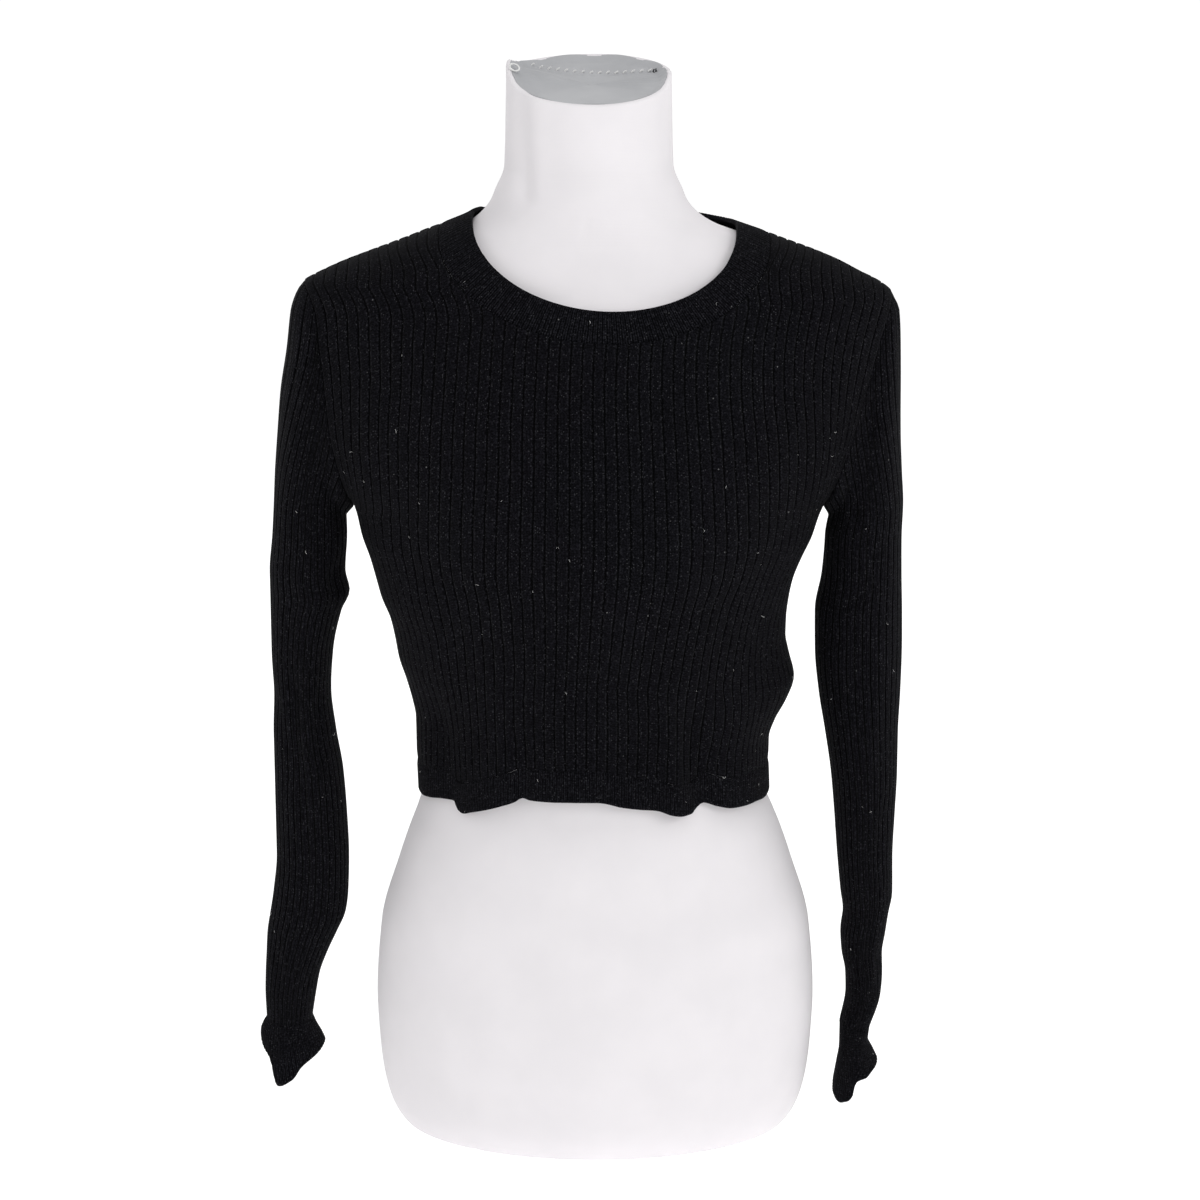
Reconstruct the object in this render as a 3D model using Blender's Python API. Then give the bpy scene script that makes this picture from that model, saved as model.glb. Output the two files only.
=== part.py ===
"""Cropped rib-knit sweater on a limbless dress form.

The front faces -Y, +Z is up, and the origin is the middle of the form's flat base.
The wearer's right side is -X. Sizes in the tables are millimetres; meshes are metres.

Every knitted piece is a closed wall. Its outer face carries the wide ribs, its inner
face is plain, and the pieces meet at their seams with a small gap.
"""
import math

import bmesh
import bpy
import numpy as np

MM = 0.001
COLLECTION = "sweater_on_dress_form"

# Knit sizes
WALL = 2.0
SEAM_GAP = 0.3
RIB_RELIEF = 0.9
GROOVE_WIDTH = 1.8
BAND_HEIGHT = 22.0
BAND_RISE = 0.7

# How many ribs and rows the pieces have
PANEL_RIBS = 48
SHOULDER_RIBS = 12
INNER_PER_RIBS = 2
BODY_LEVELS = (272.0, 306.0, 333.0, 382.0)
ARMHOLE_ROWS = 8
SLEEVE_RIBS = 32
CAP_ROWS = 4
ARM_ROWS = 8

# Heights of the main lines
UNDERARM = 451.0
SPREAD_FROM = 500.0
SPREAD_TO = 585.0
SPREAD_TOP = 634.0
SLEEVE_RING = 430.0

# The rest of the cloth on the form
REST_CLEARANCE = 3.4
REST_DEPTH_CLEARANCE = 5.0
REST_LEVELS = (600, 609, 618, 627, 636, 644, 651)
STUMP_HALF = 189.0

# One row per level of the sweater's body, without its ribs.
BODY_COLUMNS = ("height", "right", "left", "front", "back")
BODY = (
    (240, 124.0, 122.5, 97, 92),
    (256, 124.5, 122.0, 98, 92),
    (271, 125.0, 121.5, 98, 92),
    (285, 125.2, 121.7, 98, 93),
    (300, 125.5, 126.5, 99, 94),
    (314, 128.0, 134.0, 101, 95),
    (329, 132.0, 139.0, 104, 96),
    (344, 136.8, 135.5, 107, 97),
    (358, 139.2, 132.8, 110, 98),
    (372, 142.3, 133.0, 113, 99),
    (387, 148.3, 134.5, 116, 101),
    (401, 152.0, 137.5, 119, 102),
    (415, 155.8, 143.0, 120, 103),
    (430, 161.0, 150.0, 121, 104),
    (451, 166.0, 157.0, 120, 105),
    (475, 184.0, 176.0, 117, 105),
    (503, 197.0, 191.0, 111, 104),
    (530, 204.0, 200.5, 104, 101),
    (560, 207.5, 206.0, 95, 96),
    (585, 207.5, 207.5, 85, 88),
    (598, 204.0, 202.5, 79, 83),
    (605, 198.5, 193.0, 76, 80),
    (611, 187.0, 180.5, 73, 78),
    (618, 171.5, 167.5, 69, 76),
    (625, 153.0, 151.0, 66, 73),
    (632, 134.0, 132.0, 63, 71),
    (639, 116.0, 113.0, 60, 69),
    (645, 100.0, 95.5, 58, 67),
    (652, 84.0, 77.0, 57, 65),
    (660, 75.0, 67.5, 56, 63),
)

# The armhole seam: its distance from the middle on the wearer's right and left.
ARMHOLE_COLUMNS = ("height", "right", "left")
ARMHOLE = (
    (451, 166.0, 157.0),
    (463, 169.5, 160.5),
    (475, 172.0, 164.5),
    (503, 178.0, 174.0),
    (530, 181.0, 181.5),
    (549, 183.0, 187.0),
    (569, 186.0, 193.0),
    (585, 187.5, 198.5),
    (598, 193.0, 202.5),
    (605, 198.5, 202.5),
)
SHOULDER_POINT_LEFT = 598.0

# Neckline: where the neckband is sewn on, and its open inner edge.
NECK_MIDDLE = 6.5
NECK_SEAM_HALF = 112.0
NECK_SEAM_DROP_FRONT = 68.0
NECK_SEAM_DROP_BACK = 9.0
NECK_EDGE_HALF = 89.5
NECK_EDGE_DROP_FRONT = 56.0
NECK_EDGE_RISE_BACK = 6.0
NECKBAND_STEPS = 3

# The neckline's corners, as a share of its half width, and the rows up to the shoulder.
NECK_CORNER = {"front": 0.906, "back": 1.0}
NECK_SIDE_ROWS = {"front": 3, "back": 0}

# How much wider the ribs get from the middle of a panel to its sides.
RIB_SPREAD_COLUMNS = ("height", "widening")
RIB_SPREAD = (
    (272, 0.0), (330, 0.05), (400, 0.24), (451, 0.36), (475, -0.12), (530, -0.08), (600, 0.0),
)

# The lower edge of the hem across the front, and its level at the back.
HEM_COLUMNS = ("across", "height")
HEM_FRONT = (
    (-126, 246.5), (-123, 246.5), (-117, 248.5), (-103, 252), (-94, 245), (-72, 253), (-49, 263),
    (-17, 262.8), (0, 262.5), (31, 256), (52, 250.5), (67, 248.8), (76, 254.5),
    (92, 249.5), (108, 248.5), (119, 246.5), (126, 246.5),
)
HEM_BACK_LEVEL = 246.5

# Large folds of the body: a line from (x0, z0) to (x1, z1); a trough has a negative depth.
FOLD_COLUMNS = ("side", "x0", "z0", "x1", "z1", "width", "depth")
BODY_FOLDS = (
    ("front", 62, 352, 74, 250, 11, -6.0),
    ("front", 92, 340, 100, 262, 13, 3.5),
    ("front", -112, 342, -98, 250, 11, -4.0),
    ("front", -84, 400, -60, 255, 20, 3.0),
    ("front", 20, 420, 34, 255, 22, -3.0),
    ("front", -25, 380, -18, 255, 20, 2.5),
    ("back", -86, 360, -70, 250, 14, -4.5),
    ("back", -30, 400, -24, 250, 20, 3.0),
    ("back", 24, 380, 22, 250, 16, -4.0),
    ("back", 80, 350, 74, 250, 16, 3.0),
)

# Sleeve levels: how far the outer and the inner side lie from the middle, and the depth.
# Above the sleeve ring the inner side is inside the body and only sets the middle.
SLEEVE_COLUMNS = ("height", "outer", "inner", "front", "back")
SLEEVE_RIGHT = (
    (76, 236.0, 205.0, 22, 22),
    (94, 236.5, 202.0, 24, 24),
    (109, 236.0, 199.0, 25, 25),
    (125, 235.0, 193.0, 26, 26),
    (140, 234.0, 186.0, 26, 27),
    (155, 231.5, 179.5, 26, 27),
    (170, 229.0, 177.5, 27, 28),
    (199, 226.0, 176.5, 28, 29),
    (229, 226.0, 177.5, 29, 30),
    (259, 226.0, 179.5, 30, 31),
    (288, 226.0, 184.0, 31, 32),
    (317, 225.0, 187.0, 31, 33),
    (346, 226.0, 185.0, 32, 34),
    (375, 226.0, 178.5, 34, 35),
    (389, 226.0, 172.5, 35, 36),
    (403, 226.0, 175.0, 36, 36),
    (430, 223.5, 173.5, 37, 37),
    (451, 222.0, 174.0, 39, 39),
    (475, 220.5, 171.0, 43, 43),
    (503, 218.0, 166.0, 47, 46),
    (530, 215.5, 161.0, 48, 47),
    (560, 212.0, 158.0, 45, 44),
    (585, 210.5, 158.0, 36, 36),
    (598, 206.5, 162.0, 27, 27),
    (606, 200.0, 166.0, 18, 18),
)
SLEEVE_LEFT = (
    (70, 197.5, 177.5, 20, 20),
    (94, 204.5, 181.5, 23, 23),
    (109, 205.5, 181.0, 24, 24),
    (125, 205.0, 178.0, 25, 25),
    (140, 207.0, 177.0, 26, 26),
    (155, 209.0, 178.5, 27, 26),
    (170, 211.5, 176.5, 27, 27),
    (199, 211.0, 173.5, 28, 28),
    (229, 212.0, 171.0, 29, 29),
    (259, 213.0, 168.0, 30, 30),
    (288, 213.0, 163.5, 31, 31),
    (317, 214.0, 158.5, 32, 32),
    (346, 214.5, 155.5, 33, 33),
    (375, 214.0, 155.0, 34, 34),
    (403, 213.0, 159.5, 36, 36),
    (430, 212.5, 160.5, 37, 37),
    (451, 213.0, 164.0, 39, 39),
    (475, 211.5, 164.0, 43, 43),
    (503, 210.0, 163.0, 46, 46),
    (530, 209.5, 162.0, 47, 47),
    (560, 209.5, 164.0, 43, 43),
    (585, 209.0, 168.0, 33, 33),
    (598, 203.5, 171.0, 22, 22),
)

# Creases of the sleeves: angle from the outer line towards the front, in degrees.
SLEEVE_FOLD_COLUMNS = ("angle0", "z0", "angle1", "z1", "width", "depth")
FOLDS_RIGHT = (
    (70, 530, 120, 400, 14, -3.5),
    (100, 350, 60, 240, 14, -3.0),
    (250, 500, 210, 380, 14, -3.5),
    (290, 300, 260, 180, 14, -3.0),
)
FOLDS_LEFT = (
    (50, 545, 110, 440, 14, -4.0),
    (110, 420, 80, 300, 14, -3.0),
    (240, 520, 200, 400, 14, -3.5),
    (280, 260, 250, 150, 14, -3.0),
)

# Cuffs: sections from the seam (0) down to the open edge (1).
CUFF_COLUMNS = ("down", "outer", "inner", "front", "back")
CUFF_RIGHT = (
    (0.0, 236.0, 205.0, 22, 22),
    (0.35, 239.0, 202.0, 25, 24),
    (0.7, 240.5, 198.0, 27, 26),
    (1.0, 240.3, 195.2, 28, 27),
)
CUFF_LEFT = (
    (0.0, 197.5, 177.5, 20, 20),
    (0.38, 196.2, 177.2, 22, 22),
    (0.7, 200.0, 174.8, 25, 25),
    (1.0, 203.6, 172.2, 27, 27),
)

# A cuff's open edge: its height at angles from the outer line towards the front.
CUFF_EDGE_COLUMNS = ("angle", "height")
CUFF_EDGE_RIGHT = (
    (0, 62), (30, 55), (46, 49), (58, 34), (66, 31), (92, 36), (110, 45),
    (150, 53.5), (180, 56.3), (225, 50), (270, 42), (315, 52), (360, 62),
)
CUFF_EDGE_LEFT = (
    (0, 43), (47, 38), (90, 34.5), (102, 24), (120, 17.5), (140, 15.5), (165, 16.5),
    (180, 18), (225, 24), (270, 30), (320, 38), (360, 43),
)
CUFF_STEPS = 4
CUFF_RIBS = 32

# Levels of the dress form. Under the shoulders of the sweater it follows the cloth.
FORM_COLUMNS = ("height", "right", "left", "front", "back")
FORM = (
    (0, 130.0, 130.0, 84, 84),
    (3, 139.0, 139.0, 92, 92),
    (26, 150.0, 150.0, 104, 103),
    (49, 154.0, 154.0, 107, 107),
    (72, 155.7, 155.7, 109, 110),
    (94, 156.6, 156.6, 109, 111),
    (151, 152.5, 152.5, 104, 107),
    (196, 139.5, 139.5, 96, 97),
    (218, 132.0, 132.0, 92, 91),
    (235, 125.5, 125.0, 88, 86),
    (250, 120.9, 118.4, 85, 82),
    (275, 115.0, 113.5, 84, 80),
    (330, 117.0, 117.0, 91, 84),
    (390, 131.0, 127.0, 106, 94),
    (435, 142.0, 137.0, 113, 99),
    (465, 152.0, 146.0, 111, 100),
    (490, 163.0, 157.0, 108, 100),
    (520, 175.0, 170.0, 102, 97),
    (550, 184.0, 180.0, 93, 92),
    (575, 189.0, 187.0, 84, 86),
    (590, 191.0, 189.0, 78, 81),
    (660, 71.0, 63.0, 51, 57),
    (667, 68.0, 60.0, 52, 58),
    (684, 61.5, 53.5, 50, 54),
    (740, 60.0, 52.0, 50, 52),
)
FORM_SIDES = 32
BUST_AT = 72.0
BUST_HEIGHT = 440.0
BUST_RISE = 5.0
BUST_SPREAD = 42.0
CAP_MIDDLE = -4.0
CAP_MIDDLE_HEIGHT = 746.5
CAP_TILT = 0.13
CAP_ROUND = 4.0
CAP_CROWN = 1.5

COLOURS = {
    "knit": ((0.012, 0.012, 0.014, 1.0), 0.85),
    "form_cover": ((0.78, 0.77, 0.77, 1.0), 0.6),
}


# ---------------------------------------------------------------- tables and curves

def column(table, columns, name):
    """One named column of a table as an array."""
    return np.array([row[columns.index(name)] for row in table], float)


def named_rows(table, columns):
    """The rows of a table, each with its values by name."""
    return [dict(zip(columns, row)) for row in table]


def smooth_curve(heights, values, at):
    """Read a smooth curve without overshoot through (heights, values)."""
    at = np.clip(np.asarray(at, float), heights[0], heights[-1])
    steps = np.diff(heights)
    slopes = np.diff(values) / steps
    tangents = np.zeros(len(values))
    tangents[0] = slopes[0]
    tangents[-1] = slopes[-1]
    for i in range(1, len(values) - 1):
        if slopes[i - 1] * slopes[i] > 0:
            tangents[i] = 2 * slopes[i - 1] * slopes[i] / (slopes[i - 1] + slopes[i])
    cell = np.clip(np.searchsorted(heights, at, side="right") - 1, 0, len(values) - 2)
    step = steps[cell]
    t = (at - heights[cell]) / step
    rise = t * t * (3 - 2 * t)
    lead = t * (1 - t) ** 2
    tail = -t * t * (1 - t)
    return (values[cell] * (1 - rise) + values[cell + 1] * rise
            + step * (lead * tangents[cell] + tail * tangents[cell + 1]))


def reader(table, columns, name):
    """A smooth function of a table's first column for a named one."""
    places = column(table, columns, columns[0])
    values = column(table, columns, name)
    return lambda at: smooth_curve(places, values, at)


def smoothstep(t):
    """Ease from 0 to 1."""
    t = np.clip(t, 0.0, 1.0)
    return t * t * (3 - 2 * t)


def lengths(points):
    """How far along a path each of its points lies."""
    steps = np.linalg.norm(np.diff(points, axis=0), axis=-1)
    return np.concatenate([[0], np.cumsum(steps)])


def spaced(points, shares):
    """Points at shares of a path's length."""
    length = lengths(points)
    at = shares * length[-1]
    return np.stack([np.interp(at, length, points[:, k]) for k in range(3)], axis=-1)


def unit(vectors):
    """Vectors of length one."""
    length = np.linalg.norm(vectors, axis=-1, keepdims=True)
    return vectors / np.maximum(length, 1e-12)


class Trunk:
    """A torso of elliptical levels with its own half sizes on each of four sides."""

    def __init__(self, table, columns):
        self.right = reader(table, columns, "right")
        self.left = reader(table, columns, "left")
        self.front = reader(table, columns, "front")
        self.back = reader(table, columns, "back")

    def half(self, x, z):
        """Half width on the side of x."""
        return np.where(np.asarray(x) < 0, self.right(z), self.left(z))

    def depth(self, side, z):
        """Depth towards the front or the back."""
        return self.front(z) if side == "front" else self.back(z)

    def y_at(self, side, x, z):
        """Depth coordinate of the surface over (x, z)."""
        share = np.clip(np.abs(x) / self.half(x, z), 0, 1)
        y = self.depth(side, z) * np.sqrt(np.maximum(0, 1 - share ** 2))
        return -y if side == "front" else y

    def level(self, side, turn, z):
        """Point of the level at z; turn runs from 0 (right tip) to pi (left tip)."""
        x = -np.cos(turn)
        x = x * self.half(x, z)
        y = self.depth(side, z) * np.sin(turn)
        return x, -y if side == "front" else y

    def outside(self, side, x, y, z):
        """Below 1 inside the surface and above 1 outside it."""
        return (x / self.half(x, z)) ** 2 + (y / self.depth(side, z)) ** 2

    def normal(self, side, x, y, z):
        """Outward direction of the surface."""
        a = self.half(x, z)
        b = self.depth(side, z)
        slope = (self.outside(side, x, y, z + 0.5) - self.outside(side, x, y, z - 0.5))
        return unit(np.stack([2 * x / a ** 2, 2 * y / b ** 2, slope], axis=-1))


BODY_TRUNK = Trunk(BODY, BODY_COLUMNS)
ARMHOLE_RIGHT = reader(ARMHOLE, ARMHOLE_COLUMNS, "right")
ARMHOLE_LEFT = reader(ARMHOLE, ARMHOLE_COLUMNS, "left")
HEM_CURVE = reader(HEM_FRONT, HEM_COLUMNS, "height")
RIB_WIDENING = reader(RIB_SPREAD, RIB_SPREAD_COLUMNS, "widening")


def hem_height(side, x):
    """Height of the hem's lower edge."""
    if side == "back":
        return np.full_like(np.asarray(x, float), HEM_BACK_LEVEL)
    return HEM_CURVE(x)


def body_fold(side, x, z):
    """How far a fold moves the body's wall outwards."""
    total = np.zeros_like(np.asarray(x, float))
    for fold in named_rows(BODY_FOLDS, FOLD_COLUMNS):
        if fold["side"] != side:
            continue
        run = (fold["z0"] - z) / (fold["z0"] - fold["z1"])
        across = x - (fold["x0"] + (fold["x1"] - fold["x0"]) * run)
        grown = smoothstep(run / 0.45)
        total = total + fold["depth"] * grown * np.exp(-(across / fold["width"]) ** 2)
    return total


def height_over(side, x, y):
    """Height of the shoulders' surface over (x, y)."""
    low = np.full_like(np.asarray(x, float), UNDERARM + 150.0)
    high = np.full_like(low, float(BODY[-1][0]))
    for _ in range(30):
        middle = (low + high) / 2
        inside = BODY_TRUNK.outside(side, x, y, middle) < 1
        low = np.where(inside, middle, low)
        high = np.where(inside, high, middle)
    return low


class Neckline:
    """Half of an ellipse in front and a flat curve behind, hung between the shoulders."""

    def __init__(self, half, drop_front, drop_back):
        self.half = half
        self.drops = {"front": drop_front, "back": drop_back}
        self.right_end = NECK_MIDDLE - half
        self.left_end = NECK_MIDDLE + half
        self.right_height = float(height_over("front", self.right_end, 0.0))
        self.left_height = float(height_over("front", self.left_end, 0.0))

    def height(self, side, x):
        """Height of the neckline over x."""
        share = (x - self.right_end) / (2 * self.half)
        ends = self.right_height * (1 - share) + self.left_height * share
        curve = np.maximum(0, 1 - ((x - NECK_MIDDLE) / self.half) ** 2)
        curve = np.sqrt(curve) if side == "front" else curve
        return ends - self.drops[side] * curve

    def corners(self, side):
        """Right and left x of the neckline's corners."""
        reach = self.half * NECK_CORNER[side]
        return NECK_MIDDLE - reach, NECK_MIDDLE + reach

    def side_run(self, side, x_corner, x_end):
        """Evenly spaced points from a corner up to the shoulder's ridge."""
        turn = np.linspace(math.acos((x_corner - NECK_MIDDLE) / self.half),
                           0 if x_end > NECK_MIDDLE else math.pi, 60)
        x = NECK_MIDDLE + self.half * np.cos(turn)
        z = self.height(side, x)
        y = BODY_TRUNK.y_at(side, x, z)
        y[-1] = 0.0
        return spaced(np.stack([x, y, z], axis=-1), np.linspace(0, 1, NECK_SIDE_ROWS[side] + 1))


NECK_SEAM = Neckline(NECK_SEAM_HALF, NECK_SEAM_DROP_FRONT, NECK_SEAM_DROP_BACK)
NECK_EDGE = Neckline(NECK_EDGE_HALF, NECK_EDGE_DROP_FRONT, -NECK_EDGE_RISE_BACK)


# ---------------------------------------------------------------- front and back panels

def level_turns(side, z):
    """Turns of the rib boundaries along the level at z, between the panel's two edges."""
    right = math.acos(min(1.0, float(ARMHOLE_RIGHT(z) / BODY_TRUNK.right(z))))
    left = math.acos(min(1.0, float(ARMHOLE_LEFT(z) / BODY_TRUNK.left(z))))
    if z <= UNDERARM:
        right = left = 0.0
    turn = np.linspace(right, math.pi - left, 241)
    x, y = BODY_TRUNK.level(side, turn, z)
    length = np.concatenate([[0], np.cumsum(np.hypot(np.diff(x), np.diff(y)))])
    across = np.abs(np.linspace(-1, 1, PANEL_RIBS * 2 + 1)[1::2])
    widths = 1 + RIB_WIDENING(z) * across ** 3
    places = np.concatenate([[0], np.cumsum(widths)]) / np.sum(widths)
    return np.interp(places * length[-1], length, turn)


def shares_at(ends):
    """Shares of a panel's width for its rib boundaries, given its edges and corners."""
    ribs = (0, SHOULDER_RIBS, PANEL_RIBS - SHOULDER_RIBS, PANEL_RIBS)
    x = np.interp(np.arange(PANEL_RIBS + 1), ribs, ends)
    return (x - x[0]) / (x[-1] - x[0])


def lower_rows(side):
    """Rows of rib boundaries from the hem seam up to just below the underarm."""
    rows = []
    for level in BODY_LEVELS:
        share = (level - BODY_LEVELS[0]) / (UNDERARM - BODY_LEVELS[0])
        turn = level_turns(side, level)
        x, _ = BODY_TRUNK.level(side, turn, BODY_LEVELS[0])
        seam = hem_height(side, x) + BAND_HEIGHT
        z = seam + (UNDERARM - seam) * share
        x, y = BODY_TRUNK.level(side, turn, z)
        rows.append(np.stack([x, y, z], axis=-1))
    return np.stack(rows)


def upper_rows(side):
    """Rows of rib boundaries from the underarm up to the shoulders and the neck."""
    corner_x = NECK_SEAM.corners(side)
    corner_z = float(NECK_SEAM.height(side, corner_x[0]))
    z = np.concatenate([np.linspace(UNDERARM, corner_z, 260)[:-1],
                        np.linspace(corner_z, BODY[-1][0], 260)])[:, None]
    right = ARMHOLE_RIGHT(z)
    left = ARMHOLE_LEFT(np.minimum(z, SHOULDER_POINT_LEFT))
    below = np.stack([BODY_TRUNK.level(side, level_turns(side, low), low)[0]
                      for low in np.minimum(z[:, 0], SPREAD_TO)])
    below = (below - below[:, :1]) / (below[:, -1:] - below[:, :1])
    edges = (-float(ARMHOLE_RIGHT(corner_z)), float(ARMHOLE_LEFT(SHOULDER_POINT_LEFT)))
    corner = shares_at((edges[0], *corner_x, edges[1]))
    ridge = shares_at((edges[0], NECK_SEAM.right_end, NECK_SEAM.left_end, edges[1]))
    mix = smoothstep((z - SPREAD_FROM) / (corner_z - SPREAD_FROM))
    top_mix = smoothstep((z - corner_z) / (SPREAD_TOP - corner_z))
    share = below * (1 - mix) + (corner * (1 - top_mix) + ridge * top_mix) * mix
    x = -right + (right + left) * share
    past_ridge = np.abs(x) - BODY_TRUNK.half(x, z)
    past_neck = z - NECK_SEAM.height(side, x)
    first_neck = SHOULDER_RIBS
    last_neck = PANEL_RIBS - SHOULDER_RIBS
    paths = []
    for i in range(PANEL_RIBS + 1):
        past = (past_neck if first_neck <= i <= last_neck else past_ridge)[:, i]
        above = (past >= -1e-9) & (z[:, 0] > UNDERARM + 60)
        first = int(np.argmax(above))
        cut = past[first - 1] / (past[first - 1] - past[first])
        path = np.stack([x[:first + 1, i], np.zeros(first + 1), z[:first + 1, 0]], axis=-1)
        path[-1] = path[-2] + (path[-1] - path[-2]) * cut
        path[:, 1] = BODY_TRUNK.y_at(side, path[:, 0], path[:, 2])
        if not first_neck <= i <= last_neck:
            path[-1, 1] = 0.0
        paths.append(path)
    for i in (0, PANEL_RIBS):
        paths[i][0, 1] = 0.0
    neck_rows = ARMHOLE_ROWS - NECK_SIDE_ROWS[side]
    even = np.linspace(0, 1, ARMHOLE_ROWS + 1)
    columns = [spaced(path, np.linspace(0, 1, neck_rows + 1)) for path in paths]
    ends = {first_neck: NECK_SEAM.right_end, last_neck: NECK_SEAM.left_end}
    for i in range(first_neck, last_neck + 1):
        rest = np.repeat(columns[i][-1:], NECK_SIDE_ROWS[side], axis=0)
        if i in ends:
            rest = NECK_SEAM.side_run(side, columns[i][-1, 0], ends[i])[1:]
        columns[i] = np.concatenate([columns[i], rest])
    for corner_rib, edge_rib in ((first_neck, 0), (last_neck, PANEL_RIBS)):
        along = lengths(columns[corner_rib])
        for i in range(PANEL_RIBS + 1):
            near = (i - edge_rib) / (corner_rib - edge_rib)
            if 0 <= near < 1:
                columns[i] = spaced(paths[i], even * (1 - near) + along / along[-1] * near)
    return np.stack(columns, axis=1)


def panel_skeleton(side):
    """Rib boundaries of a panel as a grid of points, hem seam first, right side first."""
    return np.concatenate([lower_rows(side), upper_rows(side)], axis=0)


def with_folds(side, base):
    """Move a grid on the body by its folds; also gives the outward directions."""
    x, y, z = base[..., 0], base[..., 1], base[..., 2]
    normal = BODY_TRUNK.normal(side, x, y, z)
    return base + normal * body_fold(side, x, z)[..., None], normal


def part_seam(side, points):
    """Draw a panel back from the side seams and shoulder seams by half a gap."""
    away = -1 if side == "front" else 1
    limit = away * SEAM_GAP / 2
    y = points[..., 1]
    points[..., 1] = np.minimum(y, limit) if side == "front" else np.maximum(y, limit)
    return points


def with_rib_edges(rows):
    """Put the two edges of each rib between its grooves, on every row."""
    width = np.linalg.norm(np.diff(rows, axis=1), axis=-1, keepdims=True)
    near = np.minimum(GROOVE_WIDTH / 2 / np.maximum(width, 0.01), 0.4)
    finer = np.empty((rows.shape[0], PANEL_RIBS * 3 + 1, 3))
    finer[:, ::3] = rows
    finer[:, 1::3] = rows[:, :-1] * (1 - near) + rows[:, 1:] * near
    finer[:, 2::3] = rows[:, :-1] * near + rows[:, 1:] * (1 - near)
    return finer


def panel_walls(side):
    """Outer and inner grids of a panel, with its plain points and their directions."""
    frame = part_seam(side, panel_skeleton(side))
    base, normal = with_folds(side, with_rib_edges(frame))
    relief = np.where(np.arange(base.shape[1]) % 3 == 0, 0.0, RIB_RELIEF)
    outer = base + normal * relief[None, :, None]
    plain = base[:, ::3]
    plain_normal = normal[:, ::3]
    inner = (plain - plain_normal * WALL)[:, ::INNER_PER_RIBS]
    return outer, inner, plain, plain_normal


def panel_cells(side):
    """Which cells of the inner grid the panel has: none in the neck's opening."""
    present = np.ones((len(BODY_LEVELS) + ARMHOLE_ROWS, PANEL_RIBS // INNER_PER_RIBS), bool)
    first = SHOULDER_RIBS // INNER_PER_RIBS
    present[len(present) - NECK_SIDE_ROWS[side]:, first:-first] = False
    return present


# ---------------------------------------------------------------- meshes from grids

def wall_object(name, outer, inner, closed, present=None):
    """A closed wall between an outer and an inner grid, rows first."""
    rows, wide = outer.shape[:2]
    narrow = inner.shape[1]
    cells = narrow if closed else narrow - 1
    per = (wide if closed else wide - 1) // cells
    if present is None:
        present = np.ones((rows - 1, cells), bool)
    mesh = bmesh.new()
    made = {}

    def corner(grid, j, i):
        key = (grid is outer, j, i % grid.shape[1])
        if key not in made:
            made[key] = mesh.verts.new(grid[key[1], key[2]] * MM)
        return made[key]

    def there(j, k):
        k = k % cells if closed else k
        return 0 <= j < rows - 1 and 0 <= k < cells and present[j, k]

    def cell(grid, j, i):
        mesh.faces.new([corner(grid, j, i), corner(grid, j, i + 1),
                        corner(grid, j + 1, i + 1), corner(grid, j + 1, i)])

    for j in range(rows):
        for k in range(cells + (not closed)):
            if there(j, k):
                cell(inner, j, k)
                for m in range(per):
                    cell(outer, j, k * per + m)
            if k < cells and there(j, k) != there(j - 1, k):
                run = [corner(outer, j, k * per + m) for m in range(per + 1)]
                mesh.faces.new([corner(inner, j, k + 1), corner(inner, j, k)] + run)
            if j < rows - 1 and there(j, k) != there(j, k - 1):
                mesh.faces.new([corner(outer, j, k * per), corner(outer, j + 1, k * per),
                                corner(inner, j + 1, k), corner(inner, j, k)])
    bmesh.ops.recalc_face_normals(mesh, faces=mesh.faces)
    bmesh.ops.triangulate(mesh, faces=mesh.faces)
    return finish(name, mesh, "knit")


def finish(name, mesh, material):
    """Turn a bmesh into a named object with its material."""
    data = bpy.data.meshes.new(name)
    mesh.to_mesh(data)
    mesh.free()
    data.shade_smooth()
    data.set_sharp_from_angle(angle=math.radians(40))
    data.materials.append(MATERIALS[material])
    thing = bpy.data.objects.new(name, data)
    bpy.data.collections[COLLECTION].objects.link(thing)
    return thing


# ---------------------------------------------------------------- bands round the body

def neck_run(side, frame):
    """The panel's neck edge from the right shoulder to the left one."""
    corner_row = len(frame) - 1 - NECK_SIDE_ROWS[side]
    first = SHOULDER_RIBS
    last = PANEL_RIBS - SHOULDER_RIBS
    return np.concatenate([frame[:corner_row:-1, first], frame[corner_row, first:last + 1],
                           frame[corner_row + 1:, last]])


def band_points(side, seam, mix):
    """The neckband's points over a panel, from its seam (0) to its open edge (1)."""
    share = np.clip((seam[:, 0] - NECK_MIDDLE) / NECK_SEAM_HALF, -1, 1)
    x_edge = NECK_MIDDLE + share * NECK_EDGE_HALF
    z_edge = NECK_EDGE.height(side, x_edge)
    y_edge = BODY_TRUNK.y_at(side, x_edge, z_edge)
    x = seam[:, 0] + (x_edge - seam[:, 0]) * mix
    z = seam[:, 2] + (z_edge - seam[:, 2]) * mix
    y = BODY_TRUNK.y_at(side, x, z)
    first = NECK_SIDE_ROWS[side]
    last = len(seam) - 1 - first
    for strap, corner in ((slice(0, first), first), (slice(last + 1, None), last)):
        narrowing = y_edge[corner] / seam[corner, 1]
        y[strap] = seam[strap, 1] * (1 + (narrowing - 1) * mix)
        z[strap] = height_over(side, x[strap], y[strap])
    for end in (0, -1):
        y[end] = 0.0
        z[end] = height_over(side, x[end], 0.0)
    return np.stack([x, y, z], axis=-1)


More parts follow.
